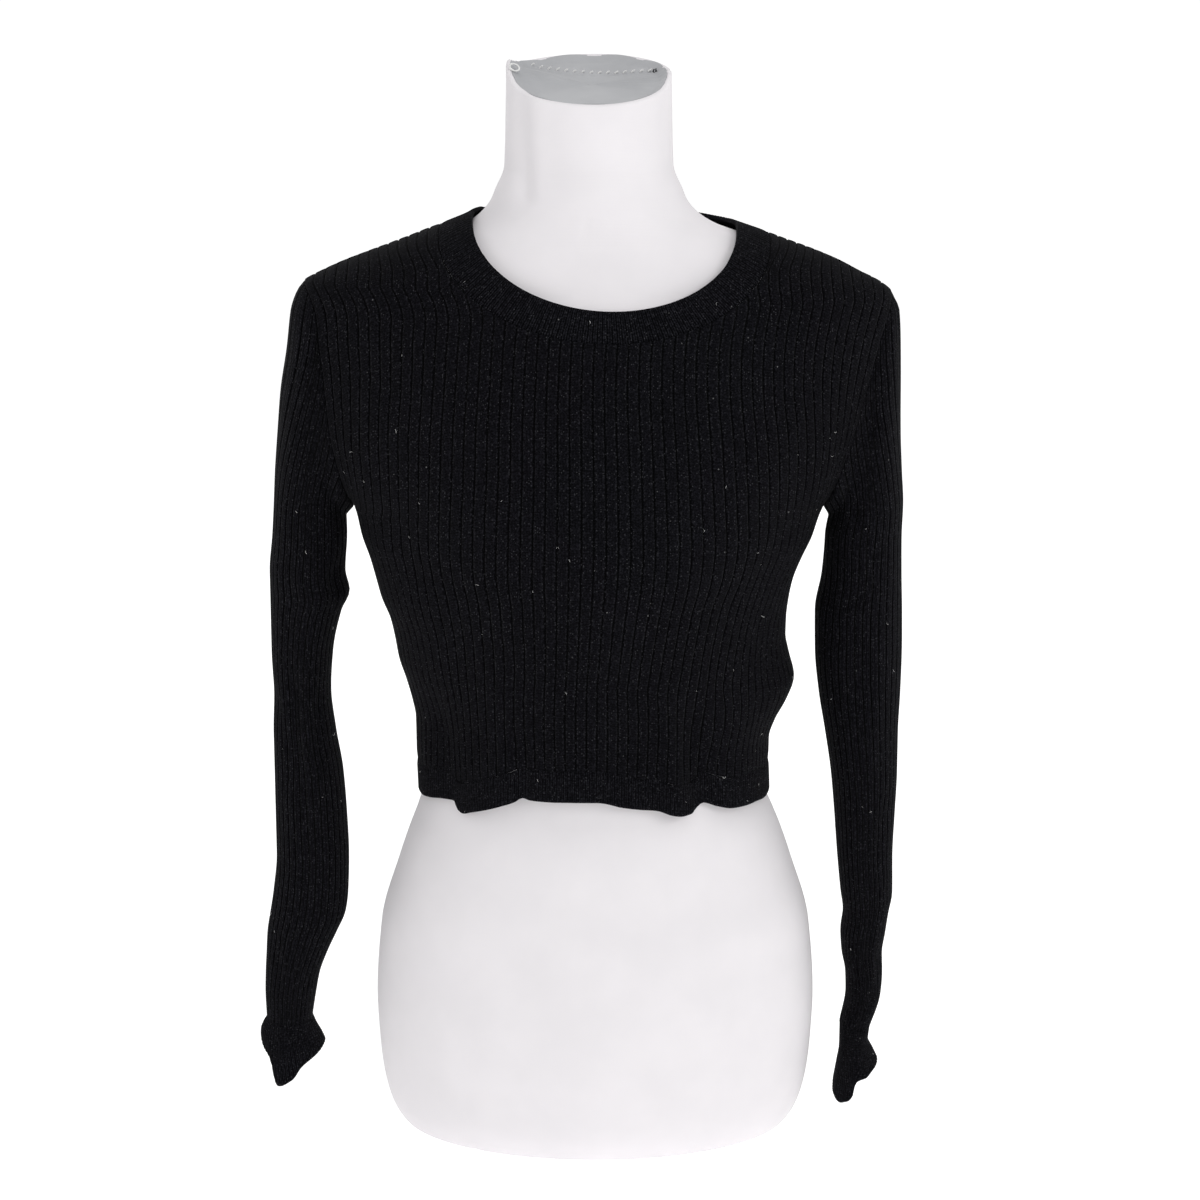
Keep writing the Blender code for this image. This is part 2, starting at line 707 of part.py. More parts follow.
def neckband_grids(front, back):
    """Outer and inner grids of the neckband, whose columns meet the panels' ribs."""
    gap = SEAM_GAP / BAND_HEIGHT
    outer = []
    inner = []
    for step in range(NECKBAND_STEPS + 1):
        rise = BAND_RISE * (0.2, 1.0, 1.0, 0.5)[step]
        halves = {"outer": [], "inner": []}
        for side, frame in (("front", front), ("back", back)):
            seam = neck_run(side, frame)
            base = band_points(side, seam, gap + (1 - gap) * step / NECKBAND_STEPS)
            normal = BODY_TRUNK.normal(side, base[:, 0], base[:, 1], base[:, 2])
            inside = base - normal * WALL
            first = NECK_SIDE_ROWS[side]
            for i in range(first + 1, len(seam) - 1 - first, INNER_PER_RIBS):
                inside[i] = (inside[i - 1] + inside[i + 1]) / 2
            way = slice(None, -1) if side == "front" else slice(None, 0, -1)
            halves["outer"].append((base + normal * rise)[way])
            halves["inner"].append(inside[way])
        outer.append(np.concatenate(halves["outer"]))
        inner.append(np.concatenate(halves["inner"]))
    return np.stack(outer), np.stack(inner)


def hem_grids(front, back):
    """Outer and inner grids of the hem band, hung from the panels' lowest rib ends."""
    runs = (("front", front[0, :-1]), ("back", back[0, :0:-1]))
    outer = []
    inner = []
    for level, rise in ((1.0, 0.3), (0.5, BAND_RISE), (0.0, 0.4)):
        for side, seam in runs:
            x, y, z_seam = seam[:, 0], seam[:, 1], seam[:, 2]
            low = hem_height(side, x)
            z = low + (z_seam - SEAM_GAP - low) * level
            turn = np.arctan2(np.abs(y) / BODY_TRUNK.depth(side, z_seam),
                              -x / BODY_TRUNK.half(x, z_seam))
            bx, by = BODY_TRUNK.level(side, turn, z)
            normal = BODY_TRUNK.normal(side, bx, by, z) * np.array([1, 1, 0])
            normal = unit(normal)
            point = np.stack([bx, by, z], axis=-1)
            point = point + normal * body_fold(side, bx, z)[:, None]
            outer.append(point + normal * rise)
            inner.append(point - normal * WALL)
    outer = np.stack([np.concatenate(outer[k:k + 2]) for k in (0, 2, 4)])
    inner = np.stack([np.concatenate(inner[k:k + 2]) for k in (0, 2, 4)])
    return outer, inner[:, ::2]


# ---------------------------------------------------------------- sleeves and cuffs

class Sleeve:
    """A tube that starts on the armhole's edge and turns down into level rings."""

    def __init__(self, table, folds, sign, loop, loop_normal):
        self.outer = reader(table, SLEEVE_COLUMNS, "outer")
        self.inner = reader(table, SLEEVE_COLUMNS, "inner")
        self.front = reader(table, SLEEVE_COLUMNS, "front")
        self.back = reader(table, SLEEVE_COLUMNS, "back")
        self.end = float(table[0][0])
        self.folds = named_rows(folds, SLEEVE_FOLD_COLUMNS)
        self.sign = sign
        self.loop = loop
        self.loop_normal = loop_normal

    def middle(self, z):
        """Distance of the tube's middle line from the body's middle."""
        return (self.outer(z) + self.inner(z)) / 2

    def ring_point(self, angle, z, scale=1.0):
        """Point of the level at z; angle 0 is outside and 90 degrees is the front."""
        half = (self.outer(z) - self.inner(z)) / 2
        deep = np.where(np.sin(angle) > 0, self.front(z), self.back(z))
        x = self.middle(z) + half * np.cos(angle) * scale
        y = -deep * np.sin(angle) * scale
        return np.stack([self.sign * x, y, z * np.ones_like(x)], axis=-1)

    def fold(self, angle, z):
        """How far a crease moves the sleeve's wall outwards."""
        degrees = np.degrees(angle) % 360
        total = np.zeros_like(degrees)
        for fold in self.folds:
            run = (fold["z0"] - z) / (fold["z0"] - fold["z1"])
            middle = fold["angle0"] + (fold["angle1"] - fold["angle0"]) * np.clip(run, 0, 1)
            across = (degrees - middle + 180) % 360 - 180
            along = smoothstep(run / 0.3) * smoothstep((1 - run) / 0.3)
            hollow = np.exp(-(across * 0.6 / fold["width"]) ** 2)
            total = total + fold["depth"] * along * hollow
        return total

    def surface(self, angles, loop, rows):
        """Rings of points from the armhole loop down to the sleeve's end."""
        x = self.sign * loop[:, 0]
        z = loop[:, 2]
        half = (self.outer(z) - self.inner(z)) / 2
        deep = np.where(loop[:, 1] < 0, self.front(z), self.back(z))
        across = (x - self.middle(z)) / half
        along = -loop[:, 1] / deep
        start = np.arctan2(along, across) % (2 * math.pi)
        start = np.where((angles < 0.01) & (start > math.pi), start - 2 * math.pi, start)
        start = np.where((angles > 6.0) & (start < math.pi), start + 2 * math.pi, start)
        reach = np.hypot(across, along)
        rings = [loop]
        for row in rows[1:]:
            if row < 1:
                level = z + (SLEEVE_RING - z) * row
                turned = start + (angles - start) * smoothstep(row)
                scale = reach + (1 - reach) * smoothstep(row * 2.2)
                ring = self.ring_point(turned, level, scale)
            else:
                level = np.full_like(z, SLEEVE_RING + (self.end - SLEEVE_RING) * (row - 1))
                ring = self.ring_point(angles, level)
            rings.append(ring)
        points = np.stack(rings)
        normal = self.normals(points)
        normal[-1] = unit(normal[-1] * np.array([1, 1, 0]))
        push = self.fold(np.broadcast_to(angles, points.shape[:2]), points[..., 2])
        return points + normal * push[..., None], normal

    def normals(self, points):
        """Outward directions of a closed grid of rings."""
        round_way = np.roll(points, -1, axis=1) - np.roll(points, 1, axis=1)
        down_way = np.gradient(points, axis=0)
        normal = unit(np.cross(down_way, round_way))
        return normal * (-self.sign)


def armhole_loop(front, back, front_normal, back_normal, edge):
    """The armhole's edge as a closed loop: shoulder, front, underarm, back."""
    rows = slice(len(BODY_LEVELS), None)
    ahead = front[rows, edge][::-1]
    behind = back[rows, edge]
    ahead_normal = front_normal[rows, edge][::-1]
    behind_normal = back_normal[rows, edge]
    points = np.concatenate([ahead, behind[1:-1]])
    normals = np.concatenate([ahead_normal, behind_normal[1:-1]])
    points[0, 1] = 0.0
    points[ARMHOLE_ROWS, 1] = 0.0
    return points, normals


def finer_loop(points, per):
    """Add evenly spaced points between those of a closed loop."""
    following = np.roll(points, -1, axis=0)
    shares = np.arange(per) / per
    return np.concatenate([p + (q - p) * shares[:, None] for p, q in zip(points, following)])


def seam_start(loop, normals, sign):
    """Where the sleeve's wall begins: just clear of the panel's edge all round."""
    following = np.roll(loop, -1, axis=0) - np.roll(loop, 1, axis=0)
    away = unit(np.cross(following, normals)) * (-sign)
    count = len(loop)
    turn = np.abs((np.arange(count) / count * 2 - 1))
    under = smoothstep((0.42 - turn) / 0.3)[:, None]
    clear = SEAM_GAP * away * 1.1
    outwards = normals * (RIB_RELIEF + SEAM_GAP * 1.5)
    level = unit(outwards * np.array([1, 1, 0]))
    return loop + clear + (RIB_RELIEF + SEAM_GAP * 1.5) * level * under, under


def sleeve_grids(sleeve):
    """Outer and inner grids of a sleeve."""
    per = SLEEVE_RIBS * 2 // len(sleeve.loop)
    fine_loop = finer_loop(sleeve.loop, per)
    fine_normal = unit(finer_loop(sleeve.loop_normal, per))
    start, under = seam_start(fine_loop, fine_normal, sleeve.sign)
    count = SLEEVE_RIBS * 2
    angles = np.arange(count) / count * 2 * math.pi
    rows = np.concatenate([np.linspace(0, 1, CAP_ROWS + 1)[:-1],
                           1 + np.linspace(0, 1, ARM_ROWS + 1)])
    base, normal = sleeve.surface(angles, start, rows)
    normal[0] = unit(fine_normal * (1 - under) + normal[0] * under)
    relief = np.where(np.arange(count) % 2 == 1, RIB_RELIEF, 0.0)
    outer = base + normal * relief[None, :, None]
    inner = (base - normal * WALL)[:, ::per]
    return outer, inner


def cuff_grids(table, edge, sign, seam):
    """Outer and inner grids of a cuff that flares to an uneven open edge."""
    angles = np.arange(CUFF_RIBS) / CUFF_RIBS * 2 * math.pi
    sections = {name: reader(table, CUFF_COLUMNS, name) for name in CUFF_COLUMNS[1:]}
    edge_z = reader(edge, CUFF_EDGE_COLUMNS, "height")(np.degrees(angles))
    sine = np.sin(angles)
    cosine = np.cos(angles)
    outer = []
    for step in range(CUFF_STEPS + 1):
        down = step / CUFF_STEPS
        at = {name: float(section(down)) for name, section in sections.items()}
        middle = (at["outer"] + at["inner"]) / 2
        half = (at["outer"] - at["inner"]) / 2
        x = middle + half * cosine
        y = -np.where(sine > 0, at["front"], at["back"]) * sine
        z = seam - SEAM_GAP + (edge_z - seam + SEAM_GAP) * down
        outer.append(np.stack([sign * x, y, z], axis=-1))
    outer = np.stack(outer)
    across = np.stack([sign * cosine, -sine, np.zeros(CUFF_RIBS)], axis=-1)
    inner = outer - across[None] * WALL
    return outer + across[None] * BAND_RISE * 0.5, inner[:, ::2]


# ---------------------------------------------------------------- dress form

def resting_level(z):
    """A level of the form that lies just below the sweater's shoulders."""
    above = z + WALL + REST_CLEARANCE
    return (z, min(STUMP_HALF, float(BODY_TRUNK.right(above)) - 0.3),
            min(STUMP_HALF, float(BODY_TRUNK.left(above)) - 0.3),
            float(BODY_TRUNK.front(above)) - WALL - REST_DEPTH_CLEARANCE,
            float(BODY_TRUNK.back(above)) - WALL - REST_DEPTH_CLEARANCE)


def build_form():
    """The limbless torso with its flat base, neck and cap."""
    levels = sorted(list(FORM) + [resting_level(z) for z in REST_LEVELS])
    trunk = Trunk(levels, FORM_COLUMNS)
    mesh = bmesh.new()
    rings = [form_ring(mesh, trunk, level[0]) for level in levels[:-1]]
    for inset, drop in ((0, CAP_ROUND), (CAP_ROUND * 0.35, CAP_ROUND * 0.3),
                        (CAP_ROUND, 0)):
        rings.append(cap_ring(mesh, levels[-1], inset, drop))
    for low, high in zip(rings, rings[1:]):
        for i in range(FORM_SIDES):
            k = (i + 1) % FORM_SIDES
            mesh.faces.new((low[i], low[k], high[k], high[i]))
    mesh.faces.new(rings[0][::-1])
    top = mesh.verts.new((CAP_MIDDLE * MM, 0, (CAP_MIDDLE_HEIGHT + CAP_CROWN) * MM))
    for i in range(FORM_SIDES):
        mesh.faces.new((rings[-1][i], rings[-1][(i + 1) % FORM_SIDES], top))
    bmesh.ops.recalc_face_normals(mesh, faces=mesh.faces)
    return finish("dress_form", mesh, "form_cover")


def form_ring(mesh, trunk, z):
    """One level of the form."""
    ring = []
    for i in range(FORM_SIDES):
        angle = 2 * math.pi * i / FORM_SIDES
        side = "back" if math.sin(angle) > 0 else "front"
        x, y = trunk.level(side, math.pi - angle, z)
        y = abs(y) if side == "back" else -abs(y)
        if side == "front":
            y -= BUST_RISE * math.exp(-((abs(x) - BUST_AT) ** 2 + (z - BUST_HEIGHT) ** 2)
                                      / BUST_SPREAD ** 2)
        ring.append(mesh.verts.new((x * MM, y * MM, z * MM)))
    return ring


def cap_ring(mesh, level, inset, drop):
    """One ring of the neck's tilted top edge."""
    _, right, left, front, back = level
    ring = []
    for i in range(FORM_SIDES):
        angle = 2 * math.pi * i / FORM_SIDES
        x = math.cos(angle) * ((left if math.cos(angle) > 0 else right) - inset)
        y = math.sin(angle) * ((back if math.sin(angle) > 0 else front) - inset)
        z = CAP_MIDDLE_HEIGHT + CAP_TILT * y - drop
        ring.append(mesh.verts.new((x * MM, y * MM, z * MM)))
    return ring


# ---------------------------------------------------------------- assembly

def clear_scene():
    """Start from an empty scene."""
    for thing in list(bpy.data.objects):
        bpy.data.objects.remove(thing, do_unlink=True)
    group = bpy.data.collections.new(COLLECTION)
    bpy.context.scene.collection.children.link(group)


def make_material(name):
    """A Principled material from the colour table."""
    colour, roughness = COLOURS[name]
    material = bpy.data.materials.new(name)
    material.use_nodes = True
    shader = material.node_tree.nodes["Principled BSDF"]
    shader.inputs["Base Color"].default_value = colour
    shader.inputs["Roughness"].default_value = roughness
    shader.inputs["Metallic"].default_value = 0.0
    material.diffuse_color = colour
    return material


def build_body():
    """Front, back, neckband, hem band; returns what the sleeves need."""
    edges = {}
    for side in ("front", "back"):
        outer, inner, plain, normal = panel_walls(side)
        wall_object(side, outer, inner, closed=False, present=panel_cells(side))
        edges[side] = (plain, normal)
    front, back = edges["front"][0], edges["back"][0]
    outer, inner = neckband_grids(front, back)
    wall_object("neckband", outer, inner, closed=True)
    outer, inner = hem_grids(panel_skeleton("front"), panel_skeleton("back"))
    wall_object("hem_band", outer, inner, closed=True)
    return edges


def build_sleeves(edges):
    """Both sleeves with their cuffs."""
    front, front_normal = edges["front"]
    back, back_normal = edges["back"]
    sides = (
        ("right", -1, 0, SLEEVE_RIGHT, FOLDS_RIGHT, CUFF_RIGHT, CUFF_EDGE_RIGHT),
        ("left", 1, PANEL_RIBS, SLEEVE_LEFT, FOLDS_LEFT, CUFF_LEFT, CUFF_EDGE_LEFT),
    )
    for name, sign, edge, table, folds, cuff, cuff_edge in sides:
        loop, normals = armhole_loop(front, back, front_normal, back_normal, edge)
        sleeve = Sleeve(table, folds, sign, loop, normals)
        outer, inner = sleeve_grids(sleeve)
        wall_object("sleeve_" + name, outer, inner, closed=True)
        outer, inner = cuff_grids(cuff, cuff_edge, sign, sleeve.end)
        wall_object("cuff_" + name, outer, inner, closed=True)


clear_scene()
MATERIALS = {name: make_material(name) for name in COLOURS}
build_form()
build_sleeves(build_body())
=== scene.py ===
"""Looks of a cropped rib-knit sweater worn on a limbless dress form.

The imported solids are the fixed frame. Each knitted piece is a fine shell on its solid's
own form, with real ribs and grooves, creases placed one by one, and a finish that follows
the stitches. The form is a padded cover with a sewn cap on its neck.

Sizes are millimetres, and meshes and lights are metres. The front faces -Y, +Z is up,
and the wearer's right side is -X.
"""
from __future__ import annotations

import logging
import math
from dataclasses import dataclass, field
from enum import Enum
from typing import Callable, Iterable, Sequence

import bpy
import bmesh
import numpy as np
from mathutils import Matrix, Vector

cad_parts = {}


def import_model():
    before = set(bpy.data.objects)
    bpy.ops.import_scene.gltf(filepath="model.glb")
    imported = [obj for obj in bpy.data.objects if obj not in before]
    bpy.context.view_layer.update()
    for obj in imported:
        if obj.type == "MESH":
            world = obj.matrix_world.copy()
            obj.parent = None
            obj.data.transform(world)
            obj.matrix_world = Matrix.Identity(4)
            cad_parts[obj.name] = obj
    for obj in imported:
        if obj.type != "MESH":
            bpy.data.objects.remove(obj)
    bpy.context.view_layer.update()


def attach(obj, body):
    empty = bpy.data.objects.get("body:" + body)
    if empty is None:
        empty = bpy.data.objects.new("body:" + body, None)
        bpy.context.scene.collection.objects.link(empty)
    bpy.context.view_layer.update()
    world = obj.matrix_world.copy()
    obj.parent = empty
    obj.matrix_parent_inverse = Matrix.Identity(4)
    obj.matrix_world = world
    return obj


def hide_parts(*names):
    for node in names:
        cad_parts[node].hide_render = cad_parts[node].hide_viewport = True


LOG = logging.getLogger("sweater")
MM = 0.001
SEED = 7
STITCH_MAP = "stitches"

Array = np.ndarray


# ------------------------------------------------------------------ curves and helpers

def smoothstep(t: Array | float) -> Array:
    """Ease from 0 to 1."""
    t = np.clip(t, 0.0, 1.0)
    return t * t * (3 - 2 * t)


def unit(vectors: Array) -> Array:
    """Vectors of length one."""
    length = np.linalg.norm(vectors, axis=-1, keepdims=True)
    return vectors / np.maximum(length, 1e-12)


def lengths(points: Array) -> Array:
    """How far along a path each of its points lies."""
    steps = np.linalg.norm(np.diff(points, axis=0), axis=-1)
    return np.concatenate([[0], np.cumsum(steps)])


def spaced(points: Array, shares: Array) -> Array:
    """Points at shares of a path's length."""
    length = lengths(points)
    at = shares * length[-1]
    return np.stack([np.interp(at, length, points[:, k]) for k in range(3)], axis=-1)


class Curve:
    """A smooth curve without overshoot through given places."""

    def __init__(self, places: Iterable[float], values: Iterable[float]) -> None:
        """Store the places and work out the slope at each one."""
        self.places = np.array(list(places), float)
        self.values = np.array(list(values), float)
        self.steps = np.diff(self.places)
        slopes = np.diff(self.values) / self.steps
        self.tangents = np.zeros(len(self.values))
        self.tangents[0] = slopes[0]
        self.tangents[-1] = slopes[-1]
        same_way = slopes[:-1] * slopes[1:] > 0
        mean = 2 * slopes[:-1] * slopes[1:] / np.where(same_way, slopes[:-1] + slopes[1:], 1)
        self.tangents[1:-1] = np.where(same_way, mean, 0)

    def __call__(self, at: Array | float) -> Array:
        """Read the curve."""
        at = np.clip(np.asarray(at, float), self.places[0], self.places[-1])
        last = len(self.values) - 2
        cell = np.clip(np.searchsorted(self.places, at, side="right") - 1, 0, last)
        step = self.steps[cell]
        t = (at - self.places[cell]) / step
        rise = t * t * (3 - 2 * t)
        lead = t * (1 - t) ** 2
        tail = -t * t * (1 - t)
        return (self.values[cell] * (1 - rise) + self.values[cell + 1] * rise
                + step * (lead * self.tangents[cell] + tail * self.tangents[cell + 1]))


def curve_of(rows: Sequence[object], place: str, value: str) -> Curve:
    """The smooth curve of one field of a table's rows over another."""
    return Curve([getattr(row, place) for row in rows], [getattr(row, value) for row in rows])


class Side(Enum):
    """A half of the garment."""

    FRONT = "front"
    BACK = "back"

    @property
    def away(self) -> float:
        """Sign of Y on this side."""
        return -1.0 if self is Side.FRONT else 1.0


# ------------------------------------------------------------------ tables

@dataclass(frozen=True)
class Level:
    """A level of a torso: half widths on the wearer's right and left, and depths."""

    height: float
    right: float
    left: float
    front: float
    back: float


@dataclass(frozen=True)
class TubeLevel:
    """A level of a sleeve: its outer and inner side from the middle, and its depths."""

    height: float
    outer: float
    inner: float
    front: float
    back: float


@dataclass(frozen=True)
class ArmholePoint:
    """The armhole seam's distance from the middle on the wearer's right and left."""

    height: float
    right: float
    left: float


@dataclass(frozen=True)
class Place:
    """One point of a curve."""

    at: float
    value: float


BODY_LEVELS = (
    Level(240, 124.0, 122.5, 97, 92), Level(256, 124.5, 122.0, 98, 92),
    Level(271, 125.0, 121.5, 98, 92), Level(285, 125.2, 121.7, 98, 93),
    Level(300, 125.5, 126.5, 99, 94), Level(314, 128.0, 134.0, 101, 95),
    Level(329, 132.0, 139.0, 104, 96), Level(344, 136.8, 135.5, 107, 97),
    Level(358, 139.2, 132.8, 110, 98), Level(372, 142.3, 133.0, 113, 99),
    Level(387, 148.3, 134.5, 116, 101), Level(401, 152.0, 137.5, 119, 102),
    Level(415, 155.8, 143.0, 120, 103), Level(430, 161.0, 150.0, 121, 104),
    Level(451, 166.0, 157.0, 120, 105), Level(475, 184.0, 176.0, 117, 105),
    Level(503, 197.0, 191.0, 111, 104), Level(530, 204.0, 200.5, 104, 101),
    Level(560, 207.5, 206.0, 95, 96), Level(585, 207.5, 207.5, 85, 88),
    Level(598, 204.0, 202.5, 79, 83), Level(605, 198.5, 193.0, 76, 80),
    Level(611, 187.0, 180.5, 73, 78), Level(618, 171.5, 167.5, 69, 76),
    Level(625, 153.0, 151.0, 66, 73), Level(632, 134.0, 132.0, 63, 71),
    Level(639, 116.0, 113.0, 60, 69), Level(645, 100.0, 95.5, 58, 67),
    Level(652, 84.0, 77.0, 57, 65), Level(660, 75.0, 67.5, 56, 63),
)
ARMHOLE = (
    ArmholePoint(451, 166.0, 157.0), ArmholePoint(463, 169.5, 160.5),
    ArmholePoint(475, 172.0, 164.5), ArmholePoint(503, 178.0, 174.0),
    ArmholePoint(530, 181.0, 181.5), ArmholePoint(549, 183.0, 187.0),
    ArmholePoint(569, 186.0, 193.0), ArmholePoint(585, 187.5, 198.5),
    ArmholePoint(598, 193.0, 202.5), ArmholePoint(605, 198.5, 202.5),
)
SHOULDER_POINT_LEFT = 598.0
# Width of the middle ribs seen from the front, where the middle groove runs, and the
# share of the panel on each side of it that keeps that width.
RIB_PITCH = (
    Place(240, 6.95), Place(289, 6.95), Place(332, 6.9), Place(353, 7.05), Place(375, 7.3),
    Place(397, 7.65), Place(418, 8.0), Place(435, 8.08), Place(465, 7.95), Place(500, 7.78),
    Place(550, 7.7), Place(600, 7.7),
)
RIB_MIDDLE = (
    Place(240, 1.5), Place(289, 1.3), Place(332, 1.6), Place(353, 2.8), Place(375, 4.2),
    Place(397, 5.6), Place(418, 6.9), Place(440, 7.6), Place(475, 7.4), Place(520, 6.7),
    Place(600, 6.5),
)
RIB_EVEN = (Place(240, 0.1), Place(380, 0.15), Place(440, 0.4), Place(500, 0.5), Place(600, 0.5))
HEM_FRONT = (
    Place(-126, 246.5), Place(-124, 246.5), Place(-117, 248.7), Place(-107, 251.7),
    Place(-100.5, 252.2), Place(-98, 246.2), Place(-94.4, 244.6), Place(-85.6, 247.9),
    Place(-72.3, 253), Place(-61, 257.7), Place(-53.5, 261), Place(-49.4, 263.8),
    Place(-44, 262.6), Place(-30, 262.6), Place(-17, 263), Place(0.5, 262.6),
    Place(18.4, 258.2), Place(31, 255.9), Place(43, 254.3), Place(52, 250.8),
    Place(60, 249.2), Place(67.5, 248.8), Place(72.6, 252.6), Place(76.4, 255.2),
    Place(84, 252.1), Place(92, 249.4), Place(108, 248.5), Place(119, 246.0),
    Place(126, 246.5),
)
HEM_BACK = (
    Place(-126, 246.5), Place(-118, 246.8), Place(-80, 249.5), Place(-52, 247.6),
    Place(-20, 250.0), Place(14, 248.0), Place(40, 250.5), Place(72, 248.3),
    Place(100, 247.6), Place(118, 246.8), Place(126, 246.5),
)
RIGHT_SLEEVE_LEVELS = (
    TubeLevel(76, 236.0, 205.0, 22, 22), TubeLevel(94, 236.5, 202.0, 24, 24),
    TubeLevel(109, 236.0, 199.0, 25, 25), TubeLevel(125, 235.0, 193.0, 26, 26),
    TubeLevel(140, 234.0, 186.0, 26, 27), TubeLevel(155, 231.5, 179.5, 26, 27),
    TubeLevel(170, 229.0, 177.5, 27, 28), TubeLevel(199, 226.0, 176.5, 28, 29),
    TubeLevel(229, 226.0, 177.5, 29, 30), TubeLevel(259, 226.0, 179.5, 30, 31),
    TubeLevel(288, 226.0, 184.0, 31, 32), TubeLevel(317, 225.0, 187.0, 31, 33),
    TubeLevel(346, 226.0, 185.0, 32, 34), TubeLevel(375, 226.0, 178.5, 34, 35),
    TubeLevel(389, 226.0, 172.5, 35, 36), TubeLevel(403, 226.0, 175.0, 36, 36),
    TubeLevel(430, 223.5, 173.5, 37, 37), TubeLevel(451, 222.0, 174.0, 39, 39),
    TubeLevel(475, 220.5, 171.0, 43, 43), TubeLevel(503, 218.0, 166.0, 47, 46),
    TubeLevel(530, 215.5, 161.0, 48, 47), TubeLevel(560, 212.0, 158.0, 45, 44),
    TubeLevel(585, 210.5, 158.0, 36, 36), TubeLevel(598, 206.5, 162.0, 27, 27),
    TubeLevel(606, 200.0, 166.0, 18, 18),
)
LEFT_SLEEVE_LEVELS = (
    TubeLevel(70, 197.5, 177.5, 20, 20), TubeLevel(94, 204.5, 181.5, 23, 23),
    TubeLevel(109, 205.5, 181.0, 24, 24), TubeLevel(125, 205.0, 178.0, 25, 25),
    TubeLevel(140, 207.0, 177.0, 26, 26), TubeLevel(155, 209.0, 178.5, 27, 26),
    TubeLevel(170, 211.5, 176.5, 27, 27), TubeLevel(199, 211.0, 173.5, 28, 28),
    TubeLevel(229, 212.0, 171.0, 29, 29), TubeLevel(259, 213.0, 168.0, 30, 30),
    TubeLevel(288, 213.0, 163.5, 31, 31), TubeLevel(317, 214.0, 158.5, 32, 32),
    TubeLevel(346, 214.5, 155.5, 33, 33), TubeLevel(375, 214.0, 155.0, 34, 34),
    TubeLevel(403, 213.0, 159.5, 36, 36), TubeLevel(430, 212.5, 160.5, 37, 37),
    TubeLevel(451, 213.0, 164.0, 39, 39), TubeLevel(475, 211.5, 164.0, 43, 43),
    TubeLevel(503, 210.0, 163.0, 46, 46), TubeLevel(530, 209.5, 162.0, 47, 47),
    TubeLevel(560, 209.5, 164.0, 43, 43), TubeLevel(585, 209.0, 168.0, 33, 33),
    TubeLevel(598, 203.5, 171.0, 22, 22),
)
FORM_LEVELS = (
    Level(0, 130.0, 130.0, 84, 84), Level(3, 139.0, 139.0, 92, 92),
    Level(26, 150.0, 150.0, 104, 103), Level(49, 154.0, 154.0, 107, 107),
    Level(72, 155.7, 155.7, 109, 110), Level(94, 156.6, 156.6, 109, 111),
    Level(151, 152.5, 152.5, 104, 107), Level(196, 139.5, 139.5, 96, 97),
    Level(218, 132.0, 132.0, 92, 91), Level(235, 125.5, 125.0, 88, 86),
    Level(250, 120.9, 118.4, 85, 82), Level(275, 115.0, 113.5, 84, 80),
    Level(330, 117.0, 117.0, 91, 84), Level(390, 131.0, 127.0, 106, 94),
    Level(435, 142.0, 137.0, 113, 99), Level(465, 152.0, 146.0, 111, 100),
    Level(490, 163.0, 157.0, 108, 100), Level(520, 175.0, 170.0, 102, 97),
    Level(550, 184.0, 180.0, 93, 92), Level(575, 189.0, 187.0, 84, 86),
    Level(590, 191.0, 189.0, 78, 81), Level(660, 71.0, 63.0, 51, 57),
    Level(667, 68.0, 60.0, 52, 58), Level(684, 61.5, 53.5, 50, 54),
    Level(740, 60.0, 52.0, 50, 52),
)


@dataclass(frozen=True)
class Crease:
    """A soft trough (negative depth) or ridge along a line from (x0, z0) to (x1, z1)."""

    x0: float
    z0: float
    x1: float
    z1: float
    width: float
    depth: float
    runs_on: bool = False
    bow: float = 0.0

    def push(self, x: Array, z: Array) -> Array:
        """How far the crease moves the cloth outwards."""
        run = (self.z0 - z) / (self.z0 - self.z1)
        line = self.x0 + (self.x1 - self.x0) * run
        line = line + self.bow * np.sin(math.pi * np.clip(run, 0, 1))
        across = (x - line) / self.width
        if self.runs_on:
            along = smoothstep(run / 0.45)
        else:
            along = smoothstep(run / 0.35) * smoothstep((1 - run) / 0.35)
        return self.depth * along * np.exp(-across ** 2)


@dataclass(frozen=True)
class Drag:
    """A soft drag line across the cloth from (x0, z0) to (x1, z1), wider than it is high."""

    x0: float
    z0: float
    x1: float
    z1: float
    width: float
    depth: float

    def push(self, x: Array, z: Array) -> Array:
        """How far the drag line moves the cloth outwards."""
        run = (x - self.x0) / (self.x1 - self.x0)
        line = self.z0 + (self.z1 - self.z0) * run
        across = (z - line) / self.width
        along = smoothstep(run / 0.4) * smoothstep((1 - run) / 0.4)
        return self.depth * along * np.exp(-across ** 2)


